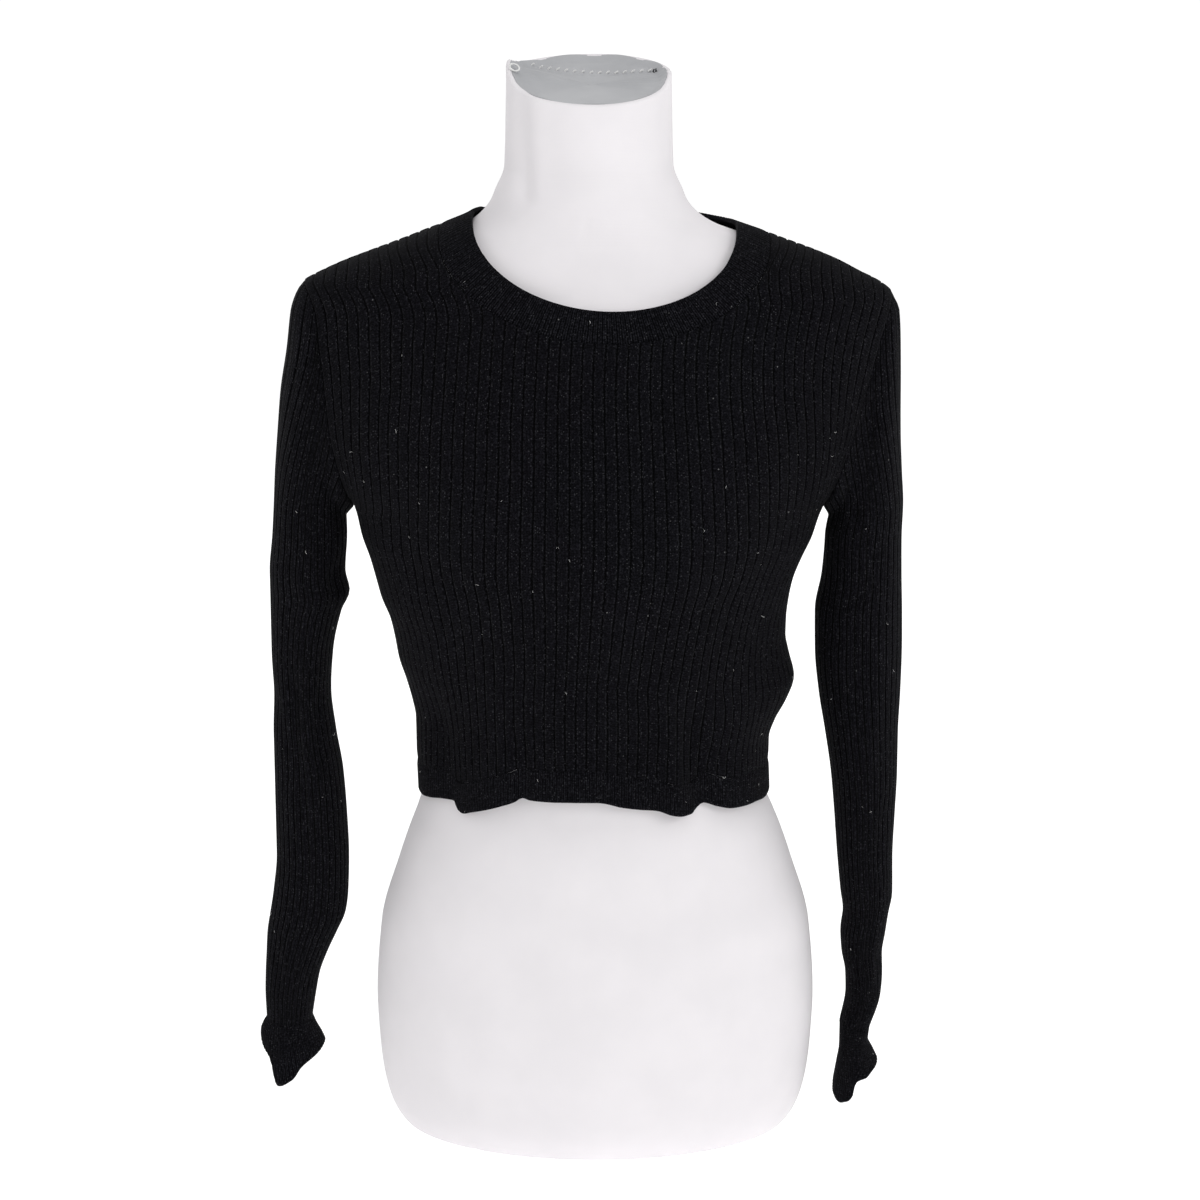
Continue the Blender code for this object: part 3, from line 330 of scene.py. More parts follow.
FRONT_CREASES = (
    Crease(62, 352, 74, 250, 11, -6.0, runs_on=True),
    Crease(92, 340, 100, 262, 13, 3.5, runs_on=True),
    Crease(-112, 342, -98, 250, 11, -4.0, runs_on=True),
    Crease(-84, 400, -60, 255, 20, 3.0, runs_on=True),
    Crease(20, 420, 34, 255, 22, -3.0, runs_on=True),
    Crease(-25, 380, -18, 255, 20, 2.5, runs_on=True),
    Crease(-50, 320, -47, 250, 6, -2.4, runs_on=True),
    Crease(50, 330, 56, 252, 8, 2.4, runs_on=True),
    Crease(8, 300, 11, 255, 7, -1.2, runs_on=True),
    Crease(-118, 420, -100, 330, 12, 1.6),
    Crease(112, 400, 122, 320, 12, -1.8),
    Crease(-146, 470, -118, 396, 10, -1.8, bow=6),
    Crease(140, 462, 112, 392, 10, -1.8, bow=-6),
    Crease(-160, 520, -150, 440, 9, 1.6),
    Crease(154, 516, 146, 436, 9, 1.6),
    Drag(-130, 462, 20, 452, 9, 0.9),
    Drag(-20, 438, 136, 450, 10, 0.8),
    Drag(-120, 404, 10, 396, 8, -0.8),
    Drag(10, 388, 124, 400, 8, -0.9),
    Drag(-90, 350, 60, 344, 8, -0.7),
    Drag(-170, 590, -90, 560, 8, 1.0),
    Drag(90, 556, 176, 590, 8, 1.0),
    Drag(-174, 560, -96, 520, 9, -0.9),
    Drag(96, 520, 170, 556, 9, -0.9),
)
BACK_CREASES = (
    Crease(-86, 360, -70, 250, 14, -4.5, runs_on=True),
    Crease(-30, 400, -24, 250, 20, 3.0, runs_on=True),
    Crease(24, 380, 22, 250, 16, -4.0, runs_on=True),
    Crease(80, 350, 74, 250, 16, 3.0, runs_on=True),
    Crease(-112, 330, -102, 250, 10, 2.2, runs_on=True),
    Crease(108, 340, 102, 250, 10, -2.0, runs_on=True),
    Crease(-146, 520, -120, 420, 11, -2.2, bow=7),
    Crease(140, 520, 116, 420, 11, -2.2, bow=-7),
    Crease(-60, 470, -52, 380, 16, -1.2),
    Crease(56, 470, 50, 384, 16, -1.2),
    Drag(-140, 500, 10, 486, 12, 1.2),
    Drag(-10, 476, 140, 496, 12, 1.1),
    Drag(-120, 430, 40, 418, 10, -1.0),
    Drag(-30, 402, 124, 414, 10, -1.0),
    Drag(-80, 612, 70, 612, 8, -1.0),
)


@dataclass(frozen=True)
class SleeveCrease:
    """A crease of a sleeve: angles in degrees from its outer line towards the front."""

    angle0: float
    z0: float
    angle1: float
    z1: float
    width: float
    depth: float

    def push(self, degrees: Array, z: Array) -> Array:
        """How far the crease moves the cloth outwards."""
        run = (self.z0 - z) / (self.z0 - self.z1)
        middle = self.angle0 + (self.angle1 - self.angle0) * np.clip(run, 0, 1)
        across = (degrees - middle + 180) % 360 - 180
        along = smoothstep(run / 0.3) * smoothstep((1 - run) / 0.3)
        return self.depth * along * np.exp(-(across * 0.6 / self.width) ** 2)


RIGHT_CREASES = (
    SleeveCrease(70, 530, 120, 400, 14, -3.5), SleeveCrease(100, 350, 60, 240, 14, -3.0),
    SleeveCrease(250, 500, 210, 380, 14, -3.5), SleeveCrease(290, 300, 260, 180, 14, -3.0),
    SleeveCrease(60, 470, 96, 150, 7, -1.6), SleeveCrease(122, 440, 96, 190, 9, 1.3),
    SleeveCrease(150, 420, 128, 372, 9, -2.0), SleeveCrease(138, 330, 110, 262, 8, -1.5),
    SleeveCrease(30, 330, 60, 268, 9, -1.4), SleeveCrease(96, 216, 70, 150, 8, -1.5),
    SleeveCrease(40, 150, 76, 92, 8, -1.3), SleeveCrease(220, 440, 250, 330, 10, 1.5),
)
LEFT_CREASES = (
    SleeveCrease(50, 545, 110, 440, 14, -4.0), SleeveCrease(110, 420, 80, 300, 14, -3.0),
    SleeveCrease(240, 520, 200, 400, 14, -3.5), SleeveCrease(280, 260, 250, 150, 14, -3.0),
    SleeveCrease(128, 470, 62, 392, 7, -2.4), SleeveCrease(150, 400, 118, 346, 8, -1.8),
    SleeveCrease(66, 370, 84, 250, 9, 1.4), SleeveCrease(120, 260, 88, 196, 8, -1.5),
    SleeveCrease(50, 250, 74, 182, 8, -1.4), SleeveCrease(100, 176, 70, 116, 8, -1.6),
    SleeveCrease(36, 140, 66, 84, 8, -1.3), SleeveCrease(216, 440, 250, 340, 10, 1.5),
)


@dataclass(frozen=True)
class CuffSection:
    """A section of a cuff from its seam (0) down to its open edge (1)."""

    down: float
    outer: float
    inner: float
    front: float
    back: float


RIGHT_CUFF = (
    CuffSection(0.0, 236.0, 205.0, 22, 22), CuffSection(0.35, 239.0, 202.0, 25, 24),
    CuffSection(0.7, 240.5, 198.0, 27, 26), CuffSection(1.0, 240.3, 195.2, 28, 27),
)
LEFT_CUFF = (
    CuffSection(0.0, 197.5, 177.5, 20, 20), CuffSection(0.38, 196.2, 177.2, 22, 22),
    CuffSection(0.7, 200.0, 174.8, 25, 25), CuffSection(1.0, 203.6, 172.2, 27, 27),
)
RIGHT_CUFF_EDGE = (
    Place(0, 62), Place(14, 59.5), Place(30, 54.5), Place(46, 49), Place(53, 42),
    Place(58, 34), Place(63, 31), Place(70, 31.2), Place(92, 36), Place(110, 45),
    Place(124, 48), Place(150, 53.5), Place(180, 56.3), Place(225, 50), Place(270, 42),
    Place(315, 52), Place(360, 62),
)
LEFT_CUFF_EDGE = (
    Place(0, 43), Place(20, 41.2), Place(47, 38), Place(90, 34.5), Place(97, 31),
    Place(102, 24), Place(120, 17.5), Place(140, 15.5), Place(165, 16.5), Place(180, 18),
    Place(225, 24), Place(270, 30), Place(320, 38), Place(360, 43),
)


# ------------------------------------------------------------------ meshes from grids

@dataclass
class Grid:
    """Rows of points with the stitch place of each: ribs across and millimetres down."""

    points: Array
    across: Array
    down: Array


class Shell:
    """A closed cloth wall between a fine outer grid and a plain inner one."""

    def __init__(self, outer: Grid, inner: Array, closed: bool,
                 present: Array | None = None) -> None:
        """Store the grids.

        Args:
            outer: the fine outer grid, rows first; its `across` has one more place than
                it has columns where the grid is closed.
            inner: points of the inner grid, under every few outer columns.
            closed: whether the columns go all the way round.
            present: which cells of the inner grid are there.
        """
        self.outer = outer
        self.inner = inner
        self.rows, self.wide = outer.points.shape[:2]
        self.narrow = inner.shape[1]
        self.cells = self.narrow if closed else self.narrow - 1
        self.per = (self.wide if closed else self.wide - 1) // self.cells
        whole = np.ones((self.rows - 1, self.cells), bool)
        self.present = whole if present is None else present
        self.closed = closed

    def outer_at(self, row: Array, column: Array) -> tuple[Array, Array]:
        """Vertex numbers and stitch places of outer corners."""
        vertex = row * self.wide + column % self.wide
        place = np.stack([self.outer.across[column],
                          self.outer.down[row, column % self.wide]], axis=-1)
        return vertex, place

    def inner_at(self, row: Array, column: Array) -> tuple[Array, Array]:
        """Vertex numbers and stitch places of inner corners."""
        vertex = self.rows * self.wide + row * self.narrow + column % self.narrow
        _, place = self.outer_at(row, column * self.per)
        return vertex, place

    def quads(self, corner: Callable[[Array, Array], tuple[Array, Array]], row: Array,
              column: Array) -> tuple[Array, Array]:
        """Four-sided faces of one grid, as vertex numbers and stitch places."""
        corners = [corner(row, column), corner(row, column + 1),
                   corner(row + 1, column + 1), corner(row + 1, column)]
        return (np.stack([c[0] for c in corners], axis=-1),
                np.stack([c[1] for c in corners], axis=1))

    def there(self, row: int, cell: int) -> bool:
        """Whether a cell of the inner grid is there."""
        cell = cell % self.cells if self.closed else cell
        inside = 0 <= row < self.rows - 1 and 0 <= cell < self.cells
        return bool(inside and self.present[row, cell])

    def rims(self) -> tuple[list[list[int]], list[Array]]:
        """Faces that close the wall along its edges."""
        faces: list[list[int]] = []
        places: list[Array] = []

        def add(corners: Sequence[tuple[Array, Array]]) -> None:
            faces.append([int(c[0]) for c in corners])
            places.append(np.array([c[1] for c in corners]))

        for row in range(self.rows):
            for cell in range(self.cells + (not self.closed)):
                if cell < self.cells and self.there(row, cell) != self.there(row - 1, cell):
                    first = cell * self.per
                    run = [self.outer_at(row, first + m) for m in range(self.per + 1)]
                    add([self.inner_at(row, cell + 1), self.inner_at(row, cell)] + run)
                if row < self.rows - 1 and self.there(row, cell) != self.there(row, cell - 1):
                    column = cell * self.per
                    add([self.outer_at(row, column), self.outer_at(row + 1, column),
                         self.inner_at(row + 1, cell), self.inner_at(row, cell)])
        return faces, places

    def build(self, name: str) -> bpy.types.Object:
        """Make the wall.

        Args:
            name: the new piece's name.
        Returns:
            The piece, smooth, with its stitch map.
        """
        row, cell = np.nonzero(self.present)
        fine = np.arange(self.per)
        faces, places = self.quads(self.outer_at, np.repeat(row, self.per),
                                   (cell[:, None] * self.per + fine).ravel())
        under, under_places = self.quads(self.inner_at, row, cell)
        rim_faces, rim_places = self.rims()
        every_face = faces.tolist() + under.tolist() + rim_faces
        stitch = np.concatenate([places.reshape(-1, 2), under_places.reshape(-1, 2)]
                                + rim_places)
        points = np.concatenate([self.outer.points.reshape(-1, 3), self.inner.reshape(-1, 3)])
        used = np.unique(np.concatenate([np.array(face) for face in rim_faces]
                                        + [faces.ravel(), under.ravel()]))
        number = np.zeros(len(points), int)
        number[used] = np.arange(len(used))
        every_face = [[int(number[v]) for v in face] for face in every_face]
        return mesh_piece(name, points[used] * MM, every_face, stitch)


def mesh_piece(name: str, points: Array, faces: list[list[int]],
               stitch: Array | None = None) -> bpy.types.Object:
    """Make a piece from points and faces.

    Args:
        name: the new piece's name.
        points: vertex places in metres.
        faces: vertex numbers of each face.
        stitch: a stitch place for each face corner.
    Returns:
        The piece, with faces pointing outwards and smooth shading.
    """
    data = bpy.data.meshes.new(name)
    data.from_pydata(points.tolist(), [], faces)
    if stitch is not None:
        layer = data.uv_layers.new(name=STITCH_MAP)
        layer.data.foreach_set("uv", np.ascontiguousarray(stitch, np.float32).ravel())
    piece = bpy.data.objects.new(name, data)
    bpy.context.scene.collection.objects.link(piece)
    work = bmesh.new()
    work.from_mesh(data)
    bmesh.ops.recalc_face_normals(work, faces=work.faces)
    work.to_mesh(data)
    work.free()
    data.shade_smooth()
    data.set_sharp_from_angle(angle=math.radians(60))
    return piece


# ------------------------------------------------------------------ the sweater's form

class Torso:
    """A torso of elliptical levels with its own half sizes on each of four sides."""

    def __init__(self, levels: Sequence[Level]) -> None:
        """Read the levels' curves."""
        self.right = curve_of(levels, "height", "right")
        self.left = curve_of(levels, "height", "left")
        self.front = curve_of(levels, "height", "front")
        self.back = curve_of(levels, "height", "back")

    def half(self, x: Array, z: Array) -> Array:
        """Half width on the side of x."""
        return np.where(np.asarray(x) < 0, self.right(z), self.left(z))

    def depth(self, side: Side, z: Array) -> Array:
        """Depth towards the front or the back."""
        return self.front(z) if side is Side.FRONT else self.back(z)

    def y_at(self, side: Side, x: Array, z: Array) -> Array:
        """Depth coordinate of the surface over (x, z)."""
        share = np.clip(np.abs(x) / self.half(x, z), 0, 1)
        return side.away * self.depth(side, z) * np.sqrt(np.maximum(0, 1 - share ** 2))

    def level(self, side: Side, turn: Array, z: Array) -> tuple[Array, Array]:
        """Point of the level at z; turn runs from 0 (right tip) to pi (left tip)."""
        x = -np.cos(turn)
        x = x * self.half(x, z)
        return x, side.away * self.depth(side, z) * np.sin(turn)

    def outside(self, side: Side, x: Array, y: Array, z: Array) -> Array:
        """Below 1 inside the surface and above 1 outside it."""
        return (x / self.half(x, z)) ** 2 + (y / self.depth(side, z)) ** 2

    def normal(self, side: Side, points: Array) -> Array:
        """Outward direction of the surface."""
        x, y, z = points[..., 0], points[..., 1], points[..., 2]
        slope = self.outside(side, x, y, z + 0.5) - self.outside(side, x, y, z - 0.5)
        flat = [2 * x / self.half(x, z) ** 2, 2 * y / self.depth(side, z) ** 2]
        return unit(np.stack(flat + [slope], axis=-1))

    def height_over(self, side: Side, x: Array | float, y: Array | float) -> Array:
        """Height of the shoulders' surface over (x, y)."""
        low = np.full_like(np.asarray(x, float), 601.0)
        high = np.full_like(low, 660.0)
        for _ in range(30):
            middle = (low + high) / 2
            inside = self.outside(side, x, y, middle) < 1
            low = np.where(inside, middle, low)
            high = np.where(inside, high, middle)
        return low


@dataclass
class Neckline:
    """Half of an ellipse in front and a flat curve behind, between the shoulders."""

    torso: Torso
    half: float
    drop_front: float
    drop_back: float
    middle: float = 6.5

    def __post_init__(self) -> None:
        """Find the two ends on the shoulders' ridge."""
        self.right_end = self.middle - self.half
        self.left_end = self.middle + self.half
        self.right_height = float(self.torso.height_over(Side.FRONT, self.right_end, 0.0))
        self.left_height = float(self.torso.height_over(Side.FRONT, self.left_end, 0.0))

    def height(self, side: Side, x: Array) -> Array:
        """Height of the neckline over x."""
        share = (x - self.right_end) / (2 * self.half)
        ends = self.right_height * (1 - share) + self.left_height * share
        curve = np.maximum(0, 1 - ((x - self.middle) / self.half) ** 2)
        if side is Side.FRONT:
            return ends - self.drop_front * np.sqrt(curve)
        return ends - self.drop_back * curve


@dataclass
class SweaterCut:
    """Where the ribs and seams of the sweater's body run."""

    ribs: int = 52
    shoulder_ribs: int = 13
    band: float = 22.0
    seam_gap: float = 0.3
    side_view: float = 0.6
    squeeze: float = 2.2
    underarm: float = 451.0
    hem_seam: float = 272.0
    spread_from: float = 500.0
    spread_to: float = 585.0
    spread_top: float = 634.0
    low_rows: int = 56
    armhole_rows: int = 64
    neck_corner: float = 0.906
    neck_side_rows: int = 24
    torso: Torso = field(default_factory=lambda: Torso(BODY_LEVELS))

    def __post_init__(self) -> None:
        """Read the seams' curves."""
        self.armhole_right = curve_of(ARMHOLE, "height", "right")
        self.armhole_left = curve_of(ARMHOLE, "height", "left")
        self.pitch = curve_of(RIB_PITCH, "at", "value")
        self.middle = curve_of(RIB_MIDDLE, "at", "value")
        self.even = curve_of(RIB_EVEN, "at", "value")
        self.hems = {Side.FRONT: curve_of(HEM_FRONT, "at", "value"),
                     Side.BACK: curve_of(HEM_BACK, "at", "value")}
        self.seam_line = Neckline(self.torso, 112.0, 68.0, 9.0)
        self.edge_line = Neckline(self.torso, 89.5, 56.0, -6.0)

    def side_rows(self, side: Side) -> int:
        """Rows of the strap beside the neck."""
        return self.neck_side_rows if side is Side.FRONT else 0

    def creases(self, side: Side, x: Array, z: Array) -> Array:
        """How far the body's creases move the cloth outwards."""
        creases = FRONT_CREASES if side is Side.FRONT else BACK_CREASES
        return sum(crease.push(x, z) for crease in creases)

    def level_turns(self, side: Side, z: float) -> Array:
        """Turns of the rib boundaries along the level at z.

        The middle ribs keep the pitch of their level, and the outer ones take up the rest.
        """
        right = math.acos(min(1.0, float(self.armhole_right(z) / self.torso.right(z))))
        left = math.acos(min(1.0, float(self.armhole_left(z) / self.torso.left(z))))
        if z <= self.underarm:
            right = left = 0.0
        turn = np.linspace(right, math.pi - left, 481)
        x, y = self.torso.level(side, turn, z)
        steps = np.hypot(np.diff(x), np.diff(y) * self.side_view)
        length = np.concatenate([[0], np.cumsum(steps)])
        length = length - np.interp(self.middle(z), x, length)
        across = np.linspace(-1, 1, self.ribs + 1)
        even = float(self.even(z))
        past = np.clip((np.abs(across) - even) / (1 - even), 0, 1) ** self.squeeze
        plain = across * float(self.pitch(z)) * self.ribs / 2
        rest = np.where(across < 0, length[0] - plain[0], length[-1] - plain[-1])
        return np.interp(plain + rest * past, length, turn)

    def shares(self, ends: Sequence[float]) -> Array:
        """Shares of the width for the rib boundaries, given the edges and neck corners."""
        ribs = (0, self.shoulder_ribs, self.ribs - self.shoulder_ribs, self.ribs)
        x = np.interp(np.arange(self.ribs + 1), ribs, ends)
        return (x - x[0]) / (x[-1] - x[0])

    def lower(self, side: Side) -> Array:
        """Rows of rib boundaries from the hem seam up to just below the underarm."""
        rows = []
        for level in np.linspace(self.hem_seam, self.underarm, self.low_rows + 1)[:-1]:
            share = (level - self.hem_seam) / (self.underarm - self.hem_seam)
            turn = self.level_turns(side, float(level))
            x, _ = self.torso.level(side, turn, self.hem_seam)
            seam = self.hems[side](x) + self.band
            z = seam + (self.underarm - seam) * share
            x, y = self.torso.level(side, turn, z)
            rows.append(np.stack([x, y, z], axis=-1))
        return np.stack(rows)

    def column_places(self, side: Side) -> tuple[Array, Array]:
        """X of every rib boundary at many heights, and those heights."""
        reach = self.seam_line.half * (self.neck_corner if side is Side.FRONT else 1.0)
        middle = self.seam_line.middle
        corners = (middle - reach, middle + reach)
        corner_z = float(self.seam_line.height(side, np.float64(corners[0])))
        z = np.concatenate([np.linspace(self.underarm, corner_z, 260)[:-1],
                            np.linspace(corner_z, BODY_LEVELS[-1].height, 260)])[:, None]
        right = self.armhole_right(z)
        left = self.armhole_left(np.minimum(z, SHOULDER_POINT_LEFT))
        below = np.stack([
            self.torso.level(side, self.level_turns(side, float(low)), float(low))[0]
            for low in np.minimum(z[:, 0], self.spread_to)])
        below = (below - below[:, :1]) / (below[:, -1:] - below[:, :1])
        edges = (-float(self.armhole_right(corner_z)),
                 float(self.armhole_left(SHOULDER_POINT_LEFT)))
        corner = self.shares((edges[0], *corners, edges[1]))
        ridge = self.shares((edges[0], self.seam_line.right_end, self.seam_line.left_end,
                             edges[1]))
        mix = smoothstep((z - self.spread_from) / (corner_z - self.spread_from))
        top = smoothstep((z - corner_z) / (self.spread_top - corner_z))
        share = below * (1 - mix) + (corner * (1 - top) + ridge * top) * mix
        return -right + (right + left) * share, z

    def neck_side(self, side: Side, x_corner: float, x_end: float) -> Array:
        """Evenly spaced points of the neck seam from a corner up to the ridge."""
        line = self.seam_line
        turn = np.linspace(math.acos((x_corner - line.middle) / line.half),
                           0 if x_end > line.middle else math.pi, 90)
        x = line.middle + line.half * np.cos(turn)
        z = line.height(side, x)
        y = self.torso.y_at(side, x, z)
        y[-1] = 0.0
        path = np.stack([x, y, z], axis=-1)
        return spaced(path, np.linspace(0, 1, self.side_rows(side) + 1))

    def upper(self, side: Side) -> Array:
        """Rows of rib boundaries from the underarm up to the shoulders and the neck."""
        x, z = self.column_places(side)
        past_ridge = np.abs(x) - self.torso.half(x, z)
        past_neck = z - self.seam_line.height(side, x)
        first_neck = self.shoulder_ribs
        last_neck = self.ribs - self.shoulder_ribs
        side_rows = self.side_rows(side)
        paths = []
        for i in range(self.ribs + 1):
            at_neck = first_neck <= i <= last_neck
            past = (past_neck if at_neck else past_ridge)[:, i]
            first = int(np.argmax((past >= -1e-9) & (z[:, 0] > self.underarm + 60)))
            cut = past[first - 1] / (past[first - 1] - past[first])
            path = np.stack([x[:first + 1, i], np.zeros(first + 1), z[:first + 1, 0]], axis=-1)
            path[-1] = path[-2] + (path[-1] - path[-2]) * cut
            path[:, 1] = self.torso.y_at(side, path[:, 0], path[:, 2])
            if not at_neck:
                path[-1, 1] = 0.0
            paths.append(path)
        for i in (0, self.ribs):
            paths[i][0, 1] = 0.0
        even = np.linspace(0, 1, self.armhole_rows + 1)
        neck_even = np.linspace(0, 1, self.armhole_rows - side_rows + 1)
        columns = [spaced(path, neck_even) for path in paths]
        ends = {first_neck: self.seam_line.right_end, last_neck: self.seam_line.left_end}
        for i in range(first_neck, last_neck + 1):
            rest = np.repeat(columns[i][-1:], side_rows, axis=0)
            if i in ends:
                rest = self.neck_side(side, columns[i][-1, 0], ends[i])[1:]
            columns[i] = np.concatenate([columns[i], rest])
        for corner_rib, edge_rib in ((first_neck, 0), (last_neck, self.ribs)):
            along = lengths(columns[corner_rib])
            for i in range(self.ribs + 1):
                near = (i - edge_rib) / (corner_rib - edge_rib)
                if 0 <= near < 1:
                    shares = even * (1 - near) + along / along[-1] * near
                    columns[i] = spaced(paths[i], shares)
        return np.stack(columns, axis=1)

    def skeleton(self, side: Side) -> Array:
        """Rib boundaries of a panel, hem seam first and the wearer's right first."""
        frame = np.concatenate([self.lower(side), self.upper(side)], axis=0)
        limit = side.away * self.seam_gap / 2
        y = frame[..., 1]
        frame[..., 1] = np.minimum(y, limit) if side is Side.FRONT else np.maximum(y, limit)
        return frame

    def neck_run(self, side: Side, frame: Array) -> Array:
        """The panel's neck edge from the right shoulder to the left one."""
        corner_row = len(frame) - 1 - self.side_rows(side)
        first = self.shoulder_ribs
        last = self.ribs - self.shoulder_ribs
        return np.concatenate([frame[:corner_row:-1, first],
                               frame[corner_row, first:last + 1],
                               frame[corner_row + 1:, last]])


# ------------------------------------------------------------------ knitted pieces

@dataclass(frozen=True)
class Wall:
    """Sizes of the knitted wall."""

    thickness: float = 2.0
    rib_relief: float = 0.95
    groove: float = 0.75
    crown: float = 0.18
    band_rise: float = 0.7
    band_relief: float = 0.42


WALL = Wall()
RIB_STEPS = (0.0, 0.035, 0.07, 0.115, 0.19, 0.34, 0.5, 0.66, 0.81, 0.885, 0.93, 0.965)


def rib_relief(across: Array, width: Array | float) -> Array:
    """Height of a wide rib over its groove.

    Args:
        across: place in ribs; whole numbers are grooves.
        width: width of a rib in millimetres.
    Returns:
        Relief in millimetres.
    """
    part = across % 1
    groove = np.minimum(part, 1 - part) * width
    crown = WALL.crown * np.sin(math.pi * part)
    return WALL.rib_relief * (1 - np.exp(-(groove / WALL.groove) ** 2)) + crown


def down_the_rows(base: Array) -> Array:
    """How far down its column each point of a grid lies."""
    steps = np.linalg.norm(np.diff(base, axis=0), axis=-1)
    return np.cumsum(np.concatenate([np.zeros((1, base.shape[1])), steps]), axis=0)


@dataclass
class Panel:
    """The front or the back, with its wide ribs."""

    cut: SweaterCut
    side: Side

    def across(self) -> Array:
        """Places of the fine columns, in ribs."""
        steps = np.array(RIB_STEPS)
        every = (np.arange(self.cut.ribs)[:, None] + steps).ravel()
        return np.append(every, self.cut.ribs)

    def build(self) -> bpy.types.Object:
        """Make the panel."""
        frame = self.cut.skeleton(self.side)
        across = self.across()
        whole = np.minimum(across.astype(int), self.cut.ribs - 1)
        part = (across - whole)[None, :, None]
        base = frame[:, whole] * (1 - part) + frame[:, whole + 1] * part
        normal = self.cut.torso.normal(self.side, base)
        push = self.cut.creases(self.side, base[..., 0], base[..., 2])
        base = base + normal * push[..., None]
        width = np.linalg.norm(frame[:, whole + 1] - frame[:, whole], axis=-1)
        relief = rib_relief(across[None, :], width)
        edge = self.seam_fade(len(frame))
        outer = base + normal * (relief * edge)[..., None]
        per = len(RIB_STEPS)
        inner = (base - normal * WALL.thickness)[:, ::per]
        down = down_the_rows(base)
        self.edges = (base[:, ::per], normal[:, ::per])
        shell = Shell(Grid(outer, across, down), inner, False, self.cells(len(frame)))
        return shell.build(self.side.value + "_knit")

    def seam_fade(self, rows: int) -> Array:
        """Ribs flatten a little where the panel is sewn to the hem band."""
        row = np.arange(rows)[:, None]
        return 0.45 + 0.55 * smoothstep((row + 0.5) / 3.0)

    def cells(self, rows: int) -> Array:
        """Which cells of the inner grid the panel has: none in the neck's opening."""
        present = np.ones((rows - 1, self.cut.ribs), bool)
        first = self.cut.shoulder_ribs
        present[rows - 1 - self.cut.side_rows(self.side):, first:-first] = False
        return present


def band_relief(across: Array) -> Array:
    """Fine one-by-one ribs of a band: full round ribs with narrow gaps."""
    part = np.abs(np.sin(math.pi * across))
    return WALL.band_relief * part ** 0.8


@dataclass
class Neckband:
    """The fine-ribbed band round the neck."""

    cut: SweaterCut
    ribs: int = 196
    per_rib: int = 4
    rows: int = 14
    strap_from: float = 0.906

    def seam(self, side: Side, frame: Array, count: int) -> Array:
        """Evenly spaced points of the neck seam over one panel."""
        run = self.cut.neck_run(side, frame)
        run[0, 1] = run[-1, 1] = 0.0
        return spaced(run, np.linspace(0, 1, count + 1))

    def points(self, side: Side, seam: Array, mix: float) -> Array:
        """The band's points over one panel, from its seam (0) to its open edge (1)."""
        line = self.cut.seam_line
        torso = self.cut.torso
        share = np.clip((seam[:, 0] - line.middle) / line.half, -1, 1)
        x_edge = line.middle + share * self.cut.edge_line.half
        z_edge = self.cut.edge_line.height(side, x_edge)
        y_edge = torso.y_at(side, x_edge, z_edge)
        x = seam[:, 0] + (x_edge - seam[:, 0]) * mix
        z = seam[:, 2] + (z_edge - seam[:, 2]) * mix
        y = torso.y_at(side, x, z)
        corner = np.abs(np.abs(share) - self.strap_from)
        for half in (share < 0, share > 0):
            at = int(np.argmin(np.where(half, corner, 9.0)))
            narrowing = y_edge[at] / seam[at, 1]
            strap_y = seam[:, 1] * (1 + (narrowing - 1) * mix)
            strap_z = torso.height_over(side, x, strap_y)
            strap = half * smoothstep((np.abs(share) - self.strap_from + 0.06) / 0.06)
            y = y * (1 - strap) + strap_y * strap
            z = z * (1 - strap) + strap_z * strap
        for end in (0, -1):
            y[end] = 0.0
            z[end] = torso.height_over(side, x[end], 0.0)
        return np.stack([x, y, z], axis=-1)

    def build(self, front: Array, back: Array) -> bpy.types.Object:
        """Make the band.

        Args:
            front: rib boundaries of the front panel.
            back: rib boundaries of the back panel.
        Returns:
            The band's piece.
        """
        columns = self.ribs * self.per_rib
        total = [lengths(self.cut.neck_run(s, f))[-1] for s, f in
                 ((Side.FRONT, front), (Side.BACK, back))]
        ahead = round(columns * total[0] / sum(total))
        seams = ((Side.FRONT, self.seam(Side.FRONT, front, ahead)),
                 (Side.BACK, self.seam(Side.BACK, back, columns - ahead)))
        gap = self.cut.seam_gap / self.cut.band
        across = np.arange(columns + 1) / self.per_rib
        rows = []
        unders = []
        for row in range(self.rows):
            share = row / (self.rows - 1)
            mix = gap + (1 - gap) * share
            rise = WALL.band_rise * smoothstep(share / 0.12)
            rise = rise * (0.3 + 0.7 * smoothstep((1 - share) / 0.08))
            base = []
            normal = []
            for side, seam in seams:
                line = self.points(side, seam, mix)
                way = slice(None, -1) if side is Side.FRONT else slice(None, 0, -1)
                base.append(line[way])
                normal.append(self.cut.torso.normal(side, line)[way])
            base = np.concatenate(base)
            normal = np.concatenate(normal)
            relief = band_relief(across[:-1]) * smoothstep((1 - share) / 0.06)
            rows.append(base + normal * (rise + relief)[:, None])
            unders.append((base - normal * WALL.thickness)[::self.per_rib])
        outer = np.stack(rows)
        down = np.repeat((np.arange(self.rows) / (self.rows - 1) * self.cut.band)[:, None],
                         columns, axis=1)
        return Shell(Grid(outer, across, down), np.stack(unders), True).build("neckband_knit")


